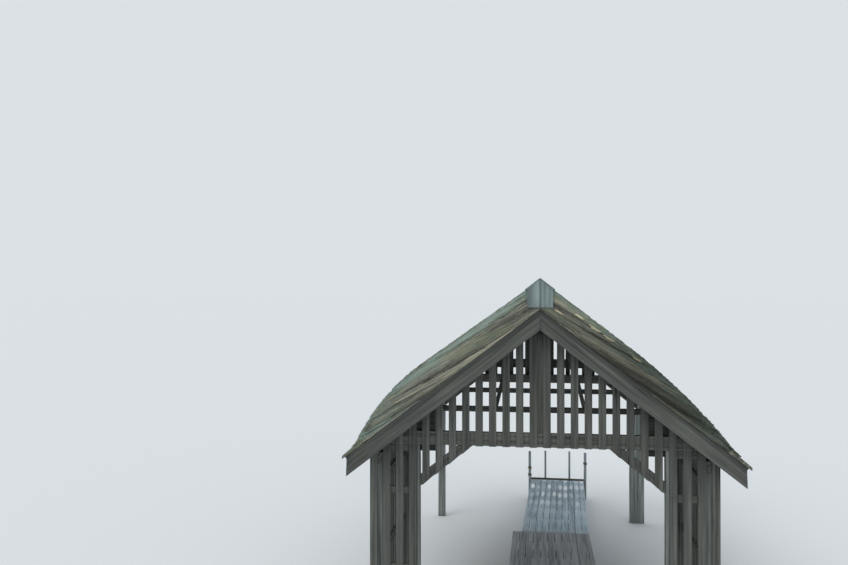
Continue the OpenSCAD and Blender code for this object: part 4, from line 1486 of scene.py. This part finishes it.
# Rope
ropeLook = {
    "radius": 0.008,        # half the thickness of the rope
    "turns": {"left": (0.655, 0.50), "right": (0.785,)},   # heights of the lashings
    "rounds": 3,
    "steps": 24,            # points of the rope's middle line in one round
    "sides": 8,
    "tuckTurn": 0.5,        # radians over which an end is tucked in
    "tucked": 0.15,         # distance of the tucked middle line from the post, in radii of the rope
    "wound": 0.7,           # and how much more elsewhere
    "rise": 1.9,            # distance between the rounds, in radii of the rope
    "snug": 0.93,           # the post's worn radius, as a share of its solid's
}


def lashing(centre, postRadius, height, rng):
    # a rope wound round a post: a circle carried along a screw line, with its ends tucked in
    look = ropeLook
    r = look["radius"]
    sides = look["sides"]
    around = np.linspace(0, 2 * np.pi * look["rounds"], look["steps"] * look["rounds"] + 1)
    start = rng.uniform(0, 2 * np.pi)
    tuck = np.minimum(np.minimum(around, around[-1] - around) / look["tuckTurn"], 1)
    reach = postRadius + r * (look["tucked"] + look["wound"] * tuck)
    line = np.stack([centre[0] + reach * np.cos(around + start), centre[1] + reach * np.sin(around + start),
                     height + (around / (2 * np.pi) - look["rounds"] / 2) * r * look["rise"]], axis=1)
    tangent = unit(np.gradient(line, axis=0))
    u = unit(np.cross(tangent, upZ))
    points = (line[:, None] + r * circleOf(sides, u, np.cross(u, tangent))).reshape(-1, 3)
    twist = np.tile(anglesOf(sides), len(line)) * r + np.repeat(around * postRadius, sides) * 0.5
    grain = np.stack([twist, np.zeros_like(twist), np.zeros_like(twist)], axis=1)
    return partOf(np.concatenate([points, line[[0, -1]]]), tubeQuads(len(line), sides),
                  tubeEnds(len(line), sides), np.concatenate([grain, grain[[0, -1]]]))


for sideName, heights in ropeLook["turns"].items():
    low, high = boxOf("mooring_post_" + sideName)
    rng = np.random.default_rng(13)
    makePiece("mooringLashing" + sideName.capitalize(),
              [lashing((low + high) / 2, (high[0] - low[0]) / 2 * ropeLook["snug"], z, rng)
               for z in heights], ropeHemp)
print("nails and ropes made")


# Floor, light and camera
stageLook = {
    "floor": "#e6eaec",
    "floorReach": 400.0,
    "floorDrop": 0.001,
    "backdrop": (0.708, 0.755, 0.784, 1),   # seen beyond the floor, and as bright as its far end
    "worldColour": (0.92, 0.96, 1.0, 1),
    "worldLight": 0.6,
    "suns": {   # direction towards the lamp, strength, width in degrees and colour
        "keySun": ((-0.55, -0.65, 0.9), 0.8, 50, (1.0, 0.98, 0.95)),
        "fillSun": ((0.45, -0.85, 0.3), 0.5, 60, (0.94, 0.97, 1.0)),
        "topSun": ((-0.15, 0.35, 1.0), 0.35, 60, (0.96, 0.98, 1.0)),
    },
    "cameraBack": 10.0,     # from the front gable
    "cameraHeight": 4.66,
    "cameraSide": -0.02,
    "turnLeft": 7.9,        # degrees from the building's axis
    "tiltUp": 0.38,
    "lens": 34.98,
}


def intoScene(name, data):
    # a new object in the scene
    holder = bpy.data.objects.new(name, data)
    bpy.context.scene.collection.objects.link(holder)
    return holder


def paleFloor():
    mesh = bpy.data.meshes.new("floor")
    half = stageLook["floorReach"]
    z = -stageLook["floorDrop"]
    mesh.from_pydata([(-half, -half, z), (half, -half, z), (half, half, z), (-half, half, z)], [],
                     [(0, 1, 2, 3)])
    material, add = newMaterial("MattPaleFloor")
    shader = add("BsdfPrincipled", {"Base Color": stageLook["floor"], "Roughness": 0.9,
                                    "Specular IOR Level": 0.1})
    add("OutputMaterial", {"Surface": shader})
    mesh.materials.append(material)
    intoScene("floor", mesh)


def softSun(name, direction, strength, spread, colour):
    # a lamp at great distance whose wide disc gives soft shadows and lights the floor evenly
    lamp = bpy.data.lights.new(name, "SUN")
    lamp.energy = strength
    lamp.angle = math.radians(spread)
    lamp.color = colour
    x, y, z = direction
    intoScene(name, lamp).rotation_euler = (math.atan2(math.hypot(x, y), z), 0, math.atan2(x, -y))


def studioWorld():
    # soft light from all round, and the plain backdrop where the camera or gloss sees past the floor
    world = bpy.data.worlds.new("studio")
    bpy.context.scene.world = world
    world.use_nodes = True
    world.node_tree.nodes.clear()
    add = functools.partial(addNode, world.node_tree)
    path = add("LightPath").outputs
    seen = path["Is Camera Ray"]
    for ray in ("Is Glossy Ray", "Is Transmission Ray"):
        seen = add("Math", [seen, path[ray]], operation="MAXIMUM")
    light = add("Background", [stageLook["worldColour"], stageLook["worldLight"]])
    back = add("Background", [stageLook["backdrop"], 1.0])
    mixed = add("MixShader", [seen, light, back])
    add("OutputWorld", {"Surface": mixed})


def photoCamera():
    data = bpy.data.cameras.new("photoCamera")
    data.lens = stageLook["lens"]
    data.sensor_width = 36
    data.clip_end = 1500
    camera = intoScene("photoCamera", data)
    camera.location = (stageLook["cameraSide"], landY - stageLook["cameraBack"], stageLook["cameraHeight"])
    camera.rotation_euler = (math.radians(90 + stageLook["tiltUp"]), 0, math.radians(stageLook["turnLeft"]))
    bpy.context.scene.camera = camera


paleFloor()
studioWorld()
for name, values in stageLook["suns"].items():
    softSun(name, *values)
photoCamera()
bpy.context.scene.view_settings.view_transform = "Standard"
bpy.context.view_layer.update()
print("stage set")
